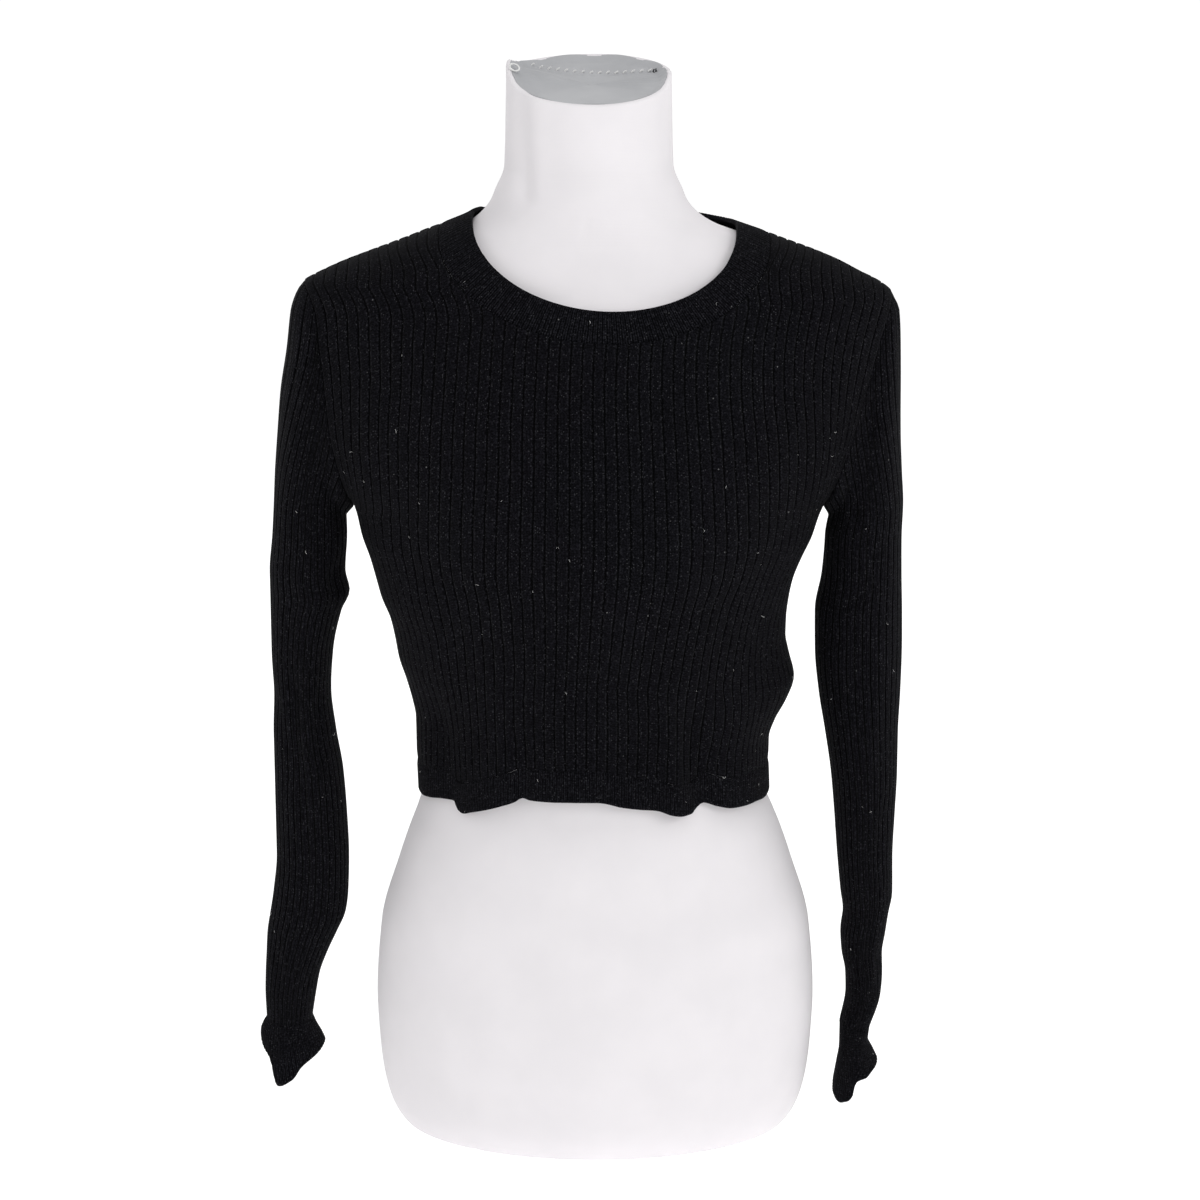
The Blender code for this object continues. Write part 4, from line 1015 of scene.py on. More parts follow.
@dataclass
class HemBand:
    """The fine-ribbed band round the lower edge."""

    cut: SweaterCut
    ribs: int = 144
    per_rib: int = 4
    rows: int = 14

    def turns(self, side: Side) -> Array:
        """Evenly spaced turns from the right side seam to the left one."""
        turn = np.linspace(0, math.pi, 721)
        x, y = self.cut.torso.level(side, turn, 262.0)
        length = np.concatenate([[0], np.cumsum(np.hypot(np.diff(x), np.diff(y)))])
        count = self.ribs * self.per_rib
        return np.interp(np.linspace(0, length[-1], count + 1), length, turn)

    def row(self, side: Side, level: float) -> tuple[Array, Array]:
        """Points and outward directions of one row over one panel."""
        turn = self.turns(side)
        torso = self.cut.torso
        x, _ = torso.level(side, turn, self.cut.hem_seam)
        low = self.cut.hems[side](x)
        z = low + (self.cut.band - self.cut.seam_gap) * level
        x, y = torso.level(side, turn, z)
        points = np.stack([x, y, z], axis=-1)
        normal = unit(torso.normal(side, points) * np.array([1, 1, 0]))
        points = points + normal * self.cut.creases(side, x, z)[:, None]
        return points, normal

    def build(self) -> bpy.types.Object:
        """Make the band."""
        columns = self.ribs * self.per_rib * 2
        across = np.arange(columns + 1) / self.per_rib
        rows = []
        unders = []
        for number in range(self.rows):
            level = 1 - number / (self.rows - 1)
            ahead, ahead_normal = self.row(Side.FRONT, level)
            behind, behind_normal = self.row(Side.BACK, level)
            base = np.concatenate([ahead[:-1], behind[:0:-1]])
            normal = np.concatenate([ahead_normal[:-1], behind_normal[:0:-1]])
            rise = 0.25 + 0.45 * smoothstep((1 - level) / 0.15)
            rise = rise - 0.5 * smoothstep((0.08 - level) / 0.08)
            relief = band_relief(across[:-1]) * (0.35 + 0.65 * smoothstep(level / 0.08))
            rows.append(base + normal * (rise + relief)[:, None])
            unders.append((base - normal * WALL.thickness)[::self.per_rib])
        down = np.repeat((np.arange(self.rows) / (self.rows - 1) * self.cut.band)[:, None],
                         columns, axis=1)
        return Shell(Grid(np.stack(rows), across, down), np.stack(unders), True).build("hem_knit")


@dataclass
class Sleeve:
    """A long ribbed sleeve set into its armhole."""

    cut: SweaterCut
    name: str
    sign: float
    levels: Sequence[TubeLevel]
    creases: Sequence[SleeveCrease]
    ribs: int = 32
    per_rib: int = 8
    cap_rows: int = 44
    arm_rows: int = 104
    ring: float = 430.0

    def __post_init__(self) -> None:
        """Read the tube's curves."""
        self.outer = curve_of(self.levels, "height", "outer")
        self.inner = curve_of(self.levels, "height", "inner")
        self.front = curve_of(self.levels, "height", "front")
        self.back = curve_of(self.levels, "height", "back")
        self.end = self.levels[0].height
        self.columns = self.ribs * self.per_rib

    def loop(self, front: tuple[Array, Array], back: tuple[Array, Array]) -> tuple[Array, Array]:
        """The armhole's edge as a closed loop: shoulder, front, underarm, back."""
        edge = 0 if self.sign < 0 else -1
        rows = slice(self.cut.low_rows, None)
        points = np.concatenate([front[0][rows, edge][::-1], back[0][rows, edge][1:-1]])
        normals = np.concatenate([front[1][rows, edge][::-1], back[1][rows, edge][1:-1]])
        points[0, 1] = 0.0
        points[self.cut.armhole_rows, 1] = 0.0
        per = self.columns // len(points)
        shares = np.arange(per) / per

        def finer(values: Array) -> Array:
            following = np.roll(values, -1, axis=0)
            return np.concatenate([p + (q - p) * shares[:, None]
                                   for p, q in zip(values, following)])

        return finer(points), unit(finer(normals))

    def seam_start(self, loop: Array, normals: Array) -> tuple[Array, Array]:
        """Where the sleeve's wall begins: just clear of the panel's edge all round."""
        following = np.roll(loop, -4, axis=0) - np.roll(loop, 4, axis=0)
        away = unit(np.cross(following, normals)) * (-self.sign)
        turn = np.abs(np.arange(len(loop)) / len(loop) * 2 - 1)
        under = smoothstep((0.42 - turn) / 0.3)[:, None]
        lift = WALL.rib_relief + self.cut.seam_gap * 1.5
        level = unit(normals * np.array([1, 1, 0]))
        return loop + self.cut.seam_gap * 1.1 * away + lift * level * under, under

    def ring_point(self, angle: Array, z: Array, scale: Array | float = 1.0) -> Array:
        """Point of the level at z; angle 0 is outside and 90 degrees is the front."""
        half = (self.outer(z) - self.inner(z)) / 2
        deep = np.where(np.sin(angle) > 0, self.front(z), self.back(z))
        x = (self.outer(z) + self.inner(z)) / 2 + half * np.cos(angle) * scale
        y = -deep * np.sin(angle) * scale
        return np.stack([self.sign * x, y, z * np.ones_like(x)], axis=-1)

    def surface(self, start: Array) -> Array:
        """Rings of points from the armhole down to the sleeve's end."""
        angles = np.arange(self.columns) / self.columns * 2 * math.pi
        z = start[:, 2]
        half = (self.outer(z) - self.inner(z)) / 2
        deep = np.where(start[:, 1] < 0, self.front(z), self.back(z))
        across = (self.sign * start[:, 0] - (self.outer(z) + self.inner(z)) / 2) / half
        along = -start[:, 1] / deep
        turn = np.arctan2(along, across) % (2 * math.pi)
        turn = np.where((angles < 0.4) & (turn > math.pi), turn - 2 * math.pi, turn)
        turn = np.where((angles > 5.9) & (turn < math.pi), turn + 2 * math.pi, turn)
        reach = np.hypot(across, along)
        rings = [start]
        for row in np.linspace(0, 1, self.cap_rows + 1)[1:-1]:
            level = z + (self.ring - z) * row
            turned = turn + (angles - turn) * smoothstep(row)
            scale = reach + (1 - reach) * smoothstep(row * 2.2)
            rings.append(self.ring_point(turned, level, scale))
        for row in np.linspace(0, 1, self.arm_rows + 1):
            level = np.full_like(z, self.ring + (self.end - self.ring) * row)
            rings.append(self.ring_point(angles, level))
        return np.stack(rings)

    def normals(self, points: Array) -> Array:
        """Outward directions of the rings."""
        round_way = np.roll(points, -1, axis=1) - np.roll(points, 1, axis=1)
        down_way = np.gradient(points, axis=0)
        return unit(np.cross(down_way, round_way)) * (-self.sign)

    def build(self, front: tuple[Array, Array], back: tuple[Array, Array]) -> bpy.types.Object:
        """Make the sleeve.

        Args:
            front: points and directions of the front's rib boundaries.
            back: the same of the back.
        Returns:
            The sleeve's piece.
        """
        loop, loop_normal = self.loop(front, back)
        start, under = self.seam_start(loop, loop_normal)
        base = self.surface(start)
        normal = self.normals(base)
        normal[-1] = unit(normal[-1] * np.array([1, 1, 0]))
        angles = np.arange(self.columns) / self.columns * 360
        fade = smoothstep(np.arange(len(base)) / 6)[:, None]
        degrees = np.broadcast_to(angles, base.shape[:2])
        push = sum(crease.push(degrees, base[..., 2]) for crease in self.creases) * fade
        base = base + normal * push[..., None]
        normal[0] = unit(loop_normal * (1 - under) + normal[0] * under)
        across = np.arange(self.columns + 1) / self.per_rib
        width = np.linalg.norm(np.roll(base, -1, axis=1) - base, axis=-1) * self.per_rib
        part = np.minimum(across[:-1] % 1, 1 - across[:-1] % 1)[None, :]
        relief = WALL.rib_relief * (1 - np.exp(-(part * width / 0.6) ** 2))
        outer = base + normal * (relief * (0.35 + 0.65 * fade))[..., None]
        inner = (base - normal * WALL.thickness)[:, ::self.per_rib // 2]
        down = down_the_rows(base)
        return Shell(Grid(outer, across, down), inner, True).build(self.name + "_knit")


@dataclass
class Cuff:
    """A fine-ribbed cuff that flares to an uneven open edge."""

    cut: SweaterCut
    name: str
    sign: float
    seam: float
    sections: Sequence[CuffSection]
    edge: Sequence[Place]
    ribs: int = 56
    per_rib: int = 4
    rows: int = 26

    def build(self) -> bpy.types.Object:
        """Make the cuff."""
        columns = self.ribs * self.per_rib
        angles = np.arange(columns) / columns * 2 * math.pi
        sine = np.sin(angles)
        cosine = np.cos(angles)
        low = curve_of(self.edge, "at", "value")(np.degrees(angles))
        low = low + 0.35 * np.sin(angles * 9 + 1)
        curves = {name: curve_of(self.sections, "down", name)
                  for name in ("outer", "inner", "front", "back")}
        across = np.arange(columns + 1) / self.per_rib
        out = np.stack([self.sign * cosine, -sine, np.zeros(columns)], axis=-1)
        rows = []
        unders = []
        for row in range(self.rows):
            down = row / (self.rows - 1)
            at = {name: float(curve(down)) for name, curve in curves.items()}
            half = (at["outer"] - at["inner"]) / 2
            x = (at["outer"] + at["inner"]) / 2 + half * cosine
            y = -np.where(sine > 0, at["front"], at["back"]) * sine
            top = self.seam - self.cut.seam_gap
            z = top + (low - top) * down
            point = np.stack([self.sign * x, y, z], axis=-1)
            wave = 0.5 * down * np.sin(angles * 5 + 0.6)
            point = point + out * wave[:, None]
            rise = 0.35 - 0.9 * smoothstep((down - 0.97) / 0.03)
            relief = band_relief(across[:-1]) * (0.4 + 0.6 * smoothstep((1 - down) / 0.04))
            rows.append(point + out * (rise + relief)[:, None])
            unders.append((point - out * WALL.thickness)[::self.per_rib])
        depth = (self.seam - low)[None, :] * np.linspace(0, 1, self.rows)[:, None]
        return Shell(Grid(np.stack(rows), across, depth), np.stack(unders), True).build(
            self.name + "_knit")


# ------------------------------------------------------------------ the dress form

def ring_faces(rows: int, wide: int) -> list[list[int]]:
    """Four-sided faces between closed rings of points."""
    row, column = np.meshgrid(np.arange(rows - 1), np.arange(wide), indexing="ij")
    following = (column + 1) % wide
    quads = np.stack([row * wide + column, row * wide + following,
                      (row + 1) * wide + following, (row + 1) * wide + column], axis=-1)
    return quads.reshape(-1, 4).tolist()


@dataclass
class DressForm:
    """The limbless padded torso, with a flat base and a sewn top on its neck."""

    sides: int = 192
    rise_rows: int = 210
    neck_rows: int = 46
    neck_from: float = 672.0
    cap_height: float = 745.5
    tilt_front: float = 0.34
    tilt_back: float = 0.21
    rim_round: float = 2.4
    neck_front: float = 50.0
    neck_back: float = 52.0
    ear_right: float = 7.0
    ear_left: float = 0.6
    front_dip: float = 3.0
    bust_at: float = 72.0
    bust_height: float = 440.0
    bust_rise: float = 5.0
    bust_spread: float = 42.0
    stump: float = 189.0
    rest_levels: tuple[float, ...] = (600, 609, 618, 627, 636, 644, 651)
    under_cloth: float = 5.4
    depth_under_cloth: float = 7.0
    seam_depth: float = 0.55

    def resting(self, cloth: Torso) -> list[Level]:
        """Levels that lie just below the sweater's shoulders."""
        levels = []
        for z in self.rest_levels:
            above = z + self.under_cloth
            levels.append(Level(
                z, min(self.stump, float(cloth.right(above)) - 0.3),
                min(self.stump, float(cloth.left(above)) - 0.3),
                float(cloth.front(above)) - self.depth_under_cloth,
                float(cloth.back(above)) - self.depth_under_cloth))
        return levels

    def neck_top(self, angle: Array) -> Array:
        """Height of the neck's tilted top edge; it is pulled up at both side seams."""
        y = np.sin(angle) * np.where(np.sin(angle) > 0, self.neck_back, self.neck_front)
        tilt = np.where(y < 0, self.tilt_front, self.tilt_back)
        pull = np.where(np.cos(angle) < 0, self.ear_right, self.ear_left)
        ears = np.abs(np.cos(angle)) ** 12 * pull
        dip = self.front_dip * smoothstep(-np.sin(angle) / 0.5)
        return self.cap_height + tilt * y + ears - dip

    def ring(self, shape: Torso, angle: Array, z: Array) -> Array:
        """Points of the form at each angle and height."""
        cosine = np.cos(angle)
        sine = np.sin(angle)
        x = cosine * np.where(cosine < 0, shape.right(z), shape.left(z))
        y = sine * np.where(sine > 0, shape.back(z), shape.front(z))
        near = (np.abs(x) - self.bust_at) ** 2 + (z - self.bust_height) ** 2
        swell = self.bust_rise * np.exp(-near / self.bust_spread ** 2)
        y = y - np.where(sine < 0, swell, 0)
        return np.stack([x, y, z * np.ones_like(x)], axis=-1)

    def seams(self, points: Array) -> Array:
        """How deep the cover's seams and its neck's soft wrinkles are."""
        x, y, z = points[..., 0], points[..., 1], points[..., 2]
        low = smoothstep((300 - z) / 40)
        princess = 58 + 30 * smoothstep((250 - z) / 220) - 10 * smoothstep((80 - z) / 80)
        lines = [(x + 6, 1.0), (np.abs(x + 6) - princess, low)]
        depth = sum(share * np.exp(-(off / 0.9) ** 2) for off, share in lines)
        side_seam = np.exp(-(y / 1.0) ** 2)
        depth = self.seam_depth * (depth * (z < 655) + side_seam)
        neck = smoothstep((z - 655) / 12) * smoothstep((744 - z) / 16)
        wrinkles = (2.4 * np.exp(-((x + 49 + 0.06 * (z - 700)) / 6.5) ** 2)
                    + 0.8 * np.exp(-((x + 28) / 9.0) ** 2)
                    + 0.6 * np.exp(-((x - 48) / 5.0) ** 2)) * (y < 0)
        return depth + wrinkles * neck

    def build(self, cloth: Torso) -> bpy.types.Object:
        """Make the form's cover.

        Args:
            cloth: the sweater's body, which the shoulders carry.
        Returns:
            The closed cover.
        """
        shape = Torso(sorted([*FORM_LEVELS, *self.resting(cloth)], key=lambda lv: lv.height))
        angle = np.arange(self.sides) / self.sides * 2 * math.pi
        share = np.linspace(0, 1, self.rise_rows)
        rise = self.neck_from * (share - 0.03 * np.sin(2 * math.pi * share))
        rings = [self.ring(shape, angle, np.full(self.sides, z)) for z in rise]
        top = self.neck_top(angle) - self.rim_round
        for row in np.linspace(0, 1, self.neck_rows + 1)[1:]:
            z = self.neck_from + (top - self.neck_from) * row
            rings.append(self.ring(shape, angle, z))
        wall = np.stack(rings)
        out = unit(np.cross(np.roll(wall, -1, axis=1) - np.roll(wall, 1, axis=1),
                            np.gradient(wall, axis=0)))
        wall = wall - out * self.seams(wall)[..., None]
        wall[0, :, 2] = 0.0
        rim = wall[-1]
        flat = unit(rim * np.array([1, 1, 0]))
        pucker = 0.7 * np.sin(angle * 46) * np.abs(np.cos(angle)) ** 26
        turned = []
        for turn in np.linspace(0, math.pi / 2, 7)[1:]:
            step = rim - flat * (self.rim_round * (1 - np.cos(turn)))
            step = step + np.array([0, 0, 1]) * (self.rim_round * np.sin(turn)
                                                 + pucker * np.sin(turn))[:, None]
            turned.append(step)
        for inward, drop in ((1.4, 1.2), (2.4, 4.0), (3.2, 7.5), (8.0, 11.0), (26.0, 12.0)):
            turned.append(turned[5] - flat * inward - np.array([0, 0, drop]))
        base = [wall[0] * np.array([share, share, 1]) for share in (0.12, 0.5, 0.9, 0.97)]
        grid = np.concatenate([np.stack(base), wall, np.stack(turned)])
        return self.close(grid)

    def close(self, grid: Array) -> bpy.types.Object:
        """Join the rings into one closed piece with a pole at each end."""
        rows, wide = grid.shape[:2]
        faces = ring_faces(rows, wide)
        poles = np.array([grid[0].mean(axis=0), grid[-1].mean(axis=0)])
        count = rows * wide
        last = (rows - 1) * wide
        for i in range(wide):
            k = (i + 1) % wide
            faces.append([count, k, i])
            faces.append([count + 1, last + i, last + k])
        points = np.concatenate([grid.reshape(-1, 3), poles])
        self.rim = grid[-6]
        return mesh_piece("form_cover", points * MM, faces)

    def cap(self) -> bpy.types.Object:
        """The top sewn inside the rim, grey as painted shade for its upward face: a shallow dish
        with a wall.
        """
        edge = self.rim
        middle = np.array([edge[:, 0].mean(), edge[:, 1].mean(), edge[:, 2].mean() - 1.2])
        shares = np.linspace(0.985, 0.04, 24)
        upper = []
        lower = []
        for share in shares:
            ring = middle + (edge - middle) * share
            sag = 3.4 * smoothstep((1 - share) / 0.14) + 1.6 * (1 - share) ** 1.5
            seam = 0.8 * np.exp(-((ring[:, 1] - 17 + 0.05 * ring[:, 0]) / 1.0) ** 2)
            fold = 0.5 * np.sin(np.arange(self.sides) / self.sides * 2 * math.pi * 9) * share ** 3
            upper.append(ring - np.array([0, 0, 1]) * (sag + seam + fold)[:, None])
            lower.append(upper[-1] - np.array([0, 0, 1.2]))
        grid = np.concatenate([np.stack(lower)[::-1], np.stack(upper)])
        rows, wide = grid.shape[:2]
        faces = ring_faces(rows, wide)
        faces.append(list(range(wide))[::-1])
        faces.append([(rows - 1) * wide + i for i in range(wide)])
        return mesh_piece("neck_cap", grid.reshape(-1, 3) * MM, faces)


# ------------------------------------------------------------------ finishes

@dataclass(frozen=True)
class Wire:
    """A socket of a material's nodes that can be used in sums."""

    bench: "NodeBench"
    socket: bpy.types.NodeSocket

    def __add__(self, other: "Wire | float") -> "Wire":
        """Sum."""
        return self.bench.maths("ADD", self, other)

    __radd__ = __add__

    def __mul__(self, other: "Wire | float") -> "Wire":
        """Product."""
        return self.bench.maths("MULTIPLY", self, other)

    __rmul__ = __mul__

    def __sub__(self, other: "Wire | float") -> "Wire":
        """Difference."""
        return self.bench.maths("SUBTRACT", self, other)

    def __rsub__(self, other: "Wire | float") -> "Wire":
        """Difference from a number."""
        return self.bench.maths("SUBTRACT", other, self)

    def __truediv__(self, other: "Wire | float") -> "Wire":
        """Quotient."""
        return self.bench.maths("DIVIDE", self, other)

    def __abs__(self) -> "Wire":
        """Size without sign."""
        return self.bench.maths("ABSOLUTE", self)

    def __gt__(self, other: "Wire | float") -> "Wire":
        """1 where it is greater and 0 elsewhere."""
        return self.bench.maths("GREATER_THAN", self, other)


class NodeBench:
    """The nodes of one material."""

    def __init__(self, name: str) -> None:
        """Start a material with a Principled shader."""
        self.material = bpy.data.materials.new(name)
        self.material.use_nodes = True
        self.tree = self.material.node_tree
        self.shader = self.tree.nodes["Principled BSDF"]

    def node(self, kind: str, settings: dict[str, object], sockets: dict[object, object],
             output: int | str = 0) -> Wire:
        """Add a node.

        Args:
            kind: the node's type.
            settings: its own settings; "stops" gives a ramp's places and colours.
            sockets: values or wires of its inputs.
            output: the output that is wanted.
        Returns:
            That output's wire.
        """
        new = self.tree.nodes.new(kind)
        for key, value in settings.items():
            if key == "stops":
                ramp = new.color_ramp.elements
                while len(ramp) < len(value):
                    ramp.new(1.0)
                for stop, (place, colour) in zip(ramp, value):
                    stop.position = place
                    stop.color = colour
            else:
                setattr(new, key, value)
        for key, value in sockets.items():
            self.feed(new.inputs[key], value)
        return Wire(self, new.outputs[output])

    def feed(self, socket: bpy.types.NodeSocket, value: object) -> None:
        """Give an input its value or its wire."""
        if isinstance(value, Wire):
            self.tree.links.new(value.socket, socket)
        else:
            socket.default_value = value

    def maths(self, operation: str, *values: object) -> Wire:
        """A Math node."""
        return self.node("ShaderNodeMath", {"operation": operation}, dict(enumerate(values)))

    def ease(self, value: Wire, low: float, high: float) -> Wire:
        """0 below low, 1 above high, and a soft step between them."""
        return self.node("ShaderNodeMapRange", {"interpolation_type": "SMOOTHSTEP"},
                         {"Value": value, "From Min": low, "From Max": high})

    def noise(self, place: Wire, scale: float, detail: float = 2.0) -> Wire:
        """A noise texture's value."""
        return self.node("ShaderNodeTexNoise", {},
                         {"Vector": place, "Scale": scale, "Detail": detail}, "Fac")

    def blend(self, share: Wire, first: object, second: object) -> Wire:
        """Mix two colours."""
        sockets = {0: share, 6: first, 7: second}
        return self.node("ShaderNodeMix", {"data_type": "RGBA"}, sockets, 2)

    def object_place(self) -> Wire:
        """Object coordinates."""
        return self.node("ShaderNodeTexCoord", {}, {}, "Object")

    def finish(self, **sockets: object) -> bpy.types.Material:
        """Feed the shader and give back the material."""
        for key, value in sockets.items():
            self.feed(self.shader.inputs[key.replace("_", " ")], value)
        return self.material


@dataclass(frozen=True)
class KnitFinish:
    """Near-black wool knit: stitches in columns, a fine nap and pale specks, with painted shade in
    the rib grooves and between the yarn loops and a painted highlight along the rib edges.
    """

    name: str
    columns: float
    stitch: float
    relief: float = 0.5
    # How far in ribs the painted groove shade reaches; the painted highlight along the rib edges
    # reaches 2.2 times as far.
    groove: float = 0.14

    def build(self) -> bpy.types.Material:
        """Make the material."""
        bench = NodeBench(self.name)
        place = bench.object_place()
        stitches = bench.node("ShaderNodeUVMap", {"uv_map": STITCH_MAP}, {})
        wobble = bench.noise(place, 240.0, 1.0) - 0.5
        across = bench.node("ShaderNodeSeparateXYZ", {}, {0: stitches}, 0)
        down = bench.node("ShaderNodeSeparateXYZ", {}, {0: stitches}, 1)
        leg = abs(bench.maths("FRACT", across * self.columns + wobble * 0.16) * 2 - 1)
        course = down / self.stitch + leg * 0.55 + wobble * 0.5
        loop = bench.maths("SINE", course * (2 * math.pi)) * 0.5 + 0.5
        yarn = bench.maths("SINE", leg * math.pi) * (0.45 + 0.55 * loop)
        nap = bench.noise(place, 1100.0, 3.0)
        flecks = bench.ease(bench.noise(place, 820.0, 3.0), 0.42, 0.72)
        height = yarn * 0.8 + nap * 0.5
        rib = bench.maths("FRACT", across)
        to_groove = bench.maths("MINIMUM", rib, 1 - rib)
        # Painted shade mask: 0 in each rib groove, rising to 1 on the rib, so the colour darkens
        # into the groove.
        clear_of_groove_shade = bench.ease(to_groove, 0.02, self.groove)
        # Painted highlight mask: a band along each rib's edge beside its groove.
        edge = clear_of_groove_shade * (1 - bench.ease(to_groove, self.groove, self.groove * 2.2))
        cells = {"Vector": place, "Scale": 700.0}
        spot = bench.node("ShaderNodeTexVoronoi", {}, cells, "Distance")
        pick = bench.node("ShaderNodeSeparateColor", {}, {
            0: bench.node("ShaderNodeTexVoronoi", {}, cells, "Color")}, 0)
        speck = (pick > 0.8) * (1 - bench.ease(spot, 0.18, 0.34))
        lint = bench.node("ShaderNodeTexVoronoi", {}, {"Vector": place, "Scale": 95.0}, "Distance")
        dust = bench.ease(bench.noise(place, 34.0), 0.5, 0.62)
        bright = (1 - bench.ease(lint, 0.03, 0.06)) * dust
        # Random tone and the yarn's pale flecks are real; the yarn term is painted shade, lighter
        # on the loops' crowns and darker between them.
        tone_and_loop_shade = bench.noise(place, 26.0) * 0.2 + yarn * 0.85 + flecks * 0.85 - 0.25
        # Painted shade: the colour falls to near black towards each groove, where shade would
        # fall.
        wool = bench.blend(tone_and_loop_shade * clear_of_groove_shade * 0.75, (0.0004, 0.0004, 0.0007, 1),
                           (0.0098, 0.0096, 0.0130, 1))
        # Painted highlight: the rib edges are lightened, carried by the yarn's real flecks.
        wool = bench.blend(edge * flecks * 0.7, wool, (0.020, 0.020, 0.024, 1))
        wool = bench.blend(speck * 0.85, wool, (0.045, 0.045, 0.050, 1))
        wool = bench.blend(bright * 0.8, wool, (0.16, 0.16, 0.16, 1))
        bump = bench.node("ShaderNodeBump", {}, {
            "Strength": 1.0, "Distance": self.relief * MM, "Height": height}, 0)
        bench.shader.inputs["Specular IOR Level"].default_value = 0.035
        bench.shader.inputs["Sheen Weight"].default_value = 0.012
        bench.shader.inputs["Sheen Roughness"].default_value = 0.45
        return bench.finish(Base_Color=wool, Roughness=0.82 + 0.12 * nap, Normal=bump)


@dataclass(frozen=True)
class CoverFinish:
    """Soft stretch jersey over padding."""

    name: str
    light: tuple[float, float, float, float]
    shade: tuple[float, float, float, float]

    def build(self) -> bpy.types.Material:
        """Make the material."""
        bench = NodeBench(self.name)
        place = bench.object_place()
        mottle = bench.noise(place, 22.0, 3.0)
        cross = bench.node("ShaderNodeSeparateXYZ", {}, {0: place}, 2)
        courses = bench.maths("SINE", cross * (2 * math.pi / 0.0009))
        fuzz = bench.noise(place, 1900.0, 2.0)
        weave = fuzz * 0.7 + courses * 0.15
        colour = bench.blend(bench.ease(mottle, 0.25, 0.75), self.shade, self.light)
        bump = bench.node("ShaderNodeBump", {}, {
            "Strength": 0.35, "Distance": 0.12 * MM, "Height": weave}, 0)
        bench.shader.inputs["Specular IOR Level"].default_value = 0.2
        bench.shader.inputs["Sheen Weight"].default_value = 0.12
        bench.shader.inputs["Sheen Roughness"].default_value = 0.5
        return bench.finish(Base_Color=colour, Roughness=0.72 + 0.1 * fuzz, Normal=bump)


@dataclass(frozen=True)
class ThreadFinish:
    """Twisted sewing thread."""

    name: str
    colour: tuple[float, float, float, float]

    def build(self) -> bpy.types.Material:
        """Make the material."""
        bench = NodeBench(self.name)
        place = bench.object_place()
        twist = bench.noise(place, 2600.0, 2.0)
        dark = tuple(0.7 * part for part in self.colour[:3]) + (1.0,)
        bump = bench.node("ShaderNodeBump", {}, {
            "Strength": 0.4, "Distance": 0.05 * MM, "Height": twist}, 0)
        return bench.finish(Base_Color=bench.blend(twist, dark, self.colour),
                            Roughness=0.6, Normal=bump)


@dataclass(frozen=True)
class StudioFinish:
    """Plain pale studio paper."""

    name: str = "studio_paper"
    glow: float = 0.52

    def build(self) -> bpy.types.Material:
        """Make the material."""
        bench = NodeBench(self.name)
        grain = bench.noise(bench.object_place(), 9.0)
        colour = bench.blend(grain, (0.93, 0.93, 0.93, 1), (0.95, 0.95, 0.95, 1))
        bench.shader.inputs["Emission Strength"].default_value = self.glow
        return bench.finish(Base_Color=colour, Roughness=0.95, Emission_Color=colour)


# ------------------------------------------------------------------ small sewn things

def deselect() -> None:
    """Leave nothing selected."""
    for thing in bpy.context.selected_objects:
        thing.select_set(False)


def settle(piece: bpy.types.Object) -> None:
    """Put a piece's place into its mesh."""
    deselect()
    piece.select_set(True)
    bpy.context.view_layer.objects.active = piece
    bpy.ops.object.transform_apply(location=True, rotation=True, scale=True)


def joined(name: str, parts: list[bpy.types.Object]) -> bpy.types.Object:
    """Join pieces into one under a name."""
    deselect()
    for part in parts:
        part.select_set(True)
    bpy.context.view_layer.objects.active = parts[0]
    bpy.ops.object.join()
    piece = bpy.context.view_layer.objects.active
    piece.name = name
    piece.data.name = name
    settle(piece)
    return piece


def thread_arc(name: str, radius: float, thick: float, turn: float,
               sides: int = 6, steps: int = 6) -> bpy.types.Object:
    """A short arched length of thread, made by spinning a circle.

    Args:
        name: the new piece's name.
        radius: the arch's radius in metres.
        thick: the thread's radius in metres.
        turn: the arch's angle in radians.
        sides: the thread's number of sides.
        steps: the arch's number of steps.
    Returns:
        The arch, standing on the XY plane along X with its middle at the origin.
    """
    deselect()
    bpy.ops.mesh.primitive_circle_add(vertices=sides, radius=thick, fill_type="NGON",
                                      rotation=(0, math.pi / 2, 0))
    arc = bpy.context.view_layer.objects.active
    arc.name = name
    settle(arc)
    bpy.ops.object.mode_set(mode="EDIT")
    bpy.ops.mesh.select_all(action="SELECT")
    bpy.ops.mesh.spin(steps=steps, angle=turn, center=(0, 0, -radius), axis=(0, 1, 0))
    bpy.ops.mesh.select_all(action="SELECT")
    bpy.ops.mesh.normals_make_consistent(inside=False)
    bpy.ops.object.mode_set(mode="OBJECT")
    middle = sum((v.co for v in arc.data.vertices), Vector()) / len(arc.data.vertices)
    for vertex in arc.data.vertices:
        vertex.co -= middle
    arc.data.shade_smooth()
    return arc


def copied(piece: bpy.types.Object, place: Sequence[float], along: Vector,
           up: Vector, size: float = 1.0) -> bpy.types.Object:
    """A copy of a piece with its own mesh, laid along a direction."""
    copy = piece.copy()
    copy.data = piece.data.copy()
    bpy.context.scene.collection.objects.link(copy)
    side = up.cross(along).normalized()
    rise = along.cross(side).normalized()
    axes = (along.normalized(), side, rise)
    turned = Matrix(axes).transposed().to_4x4()
    copy.matrix_world = Matrix.Translation(place) @ turned @ Matrix.Scale(size, 4)
    return copy


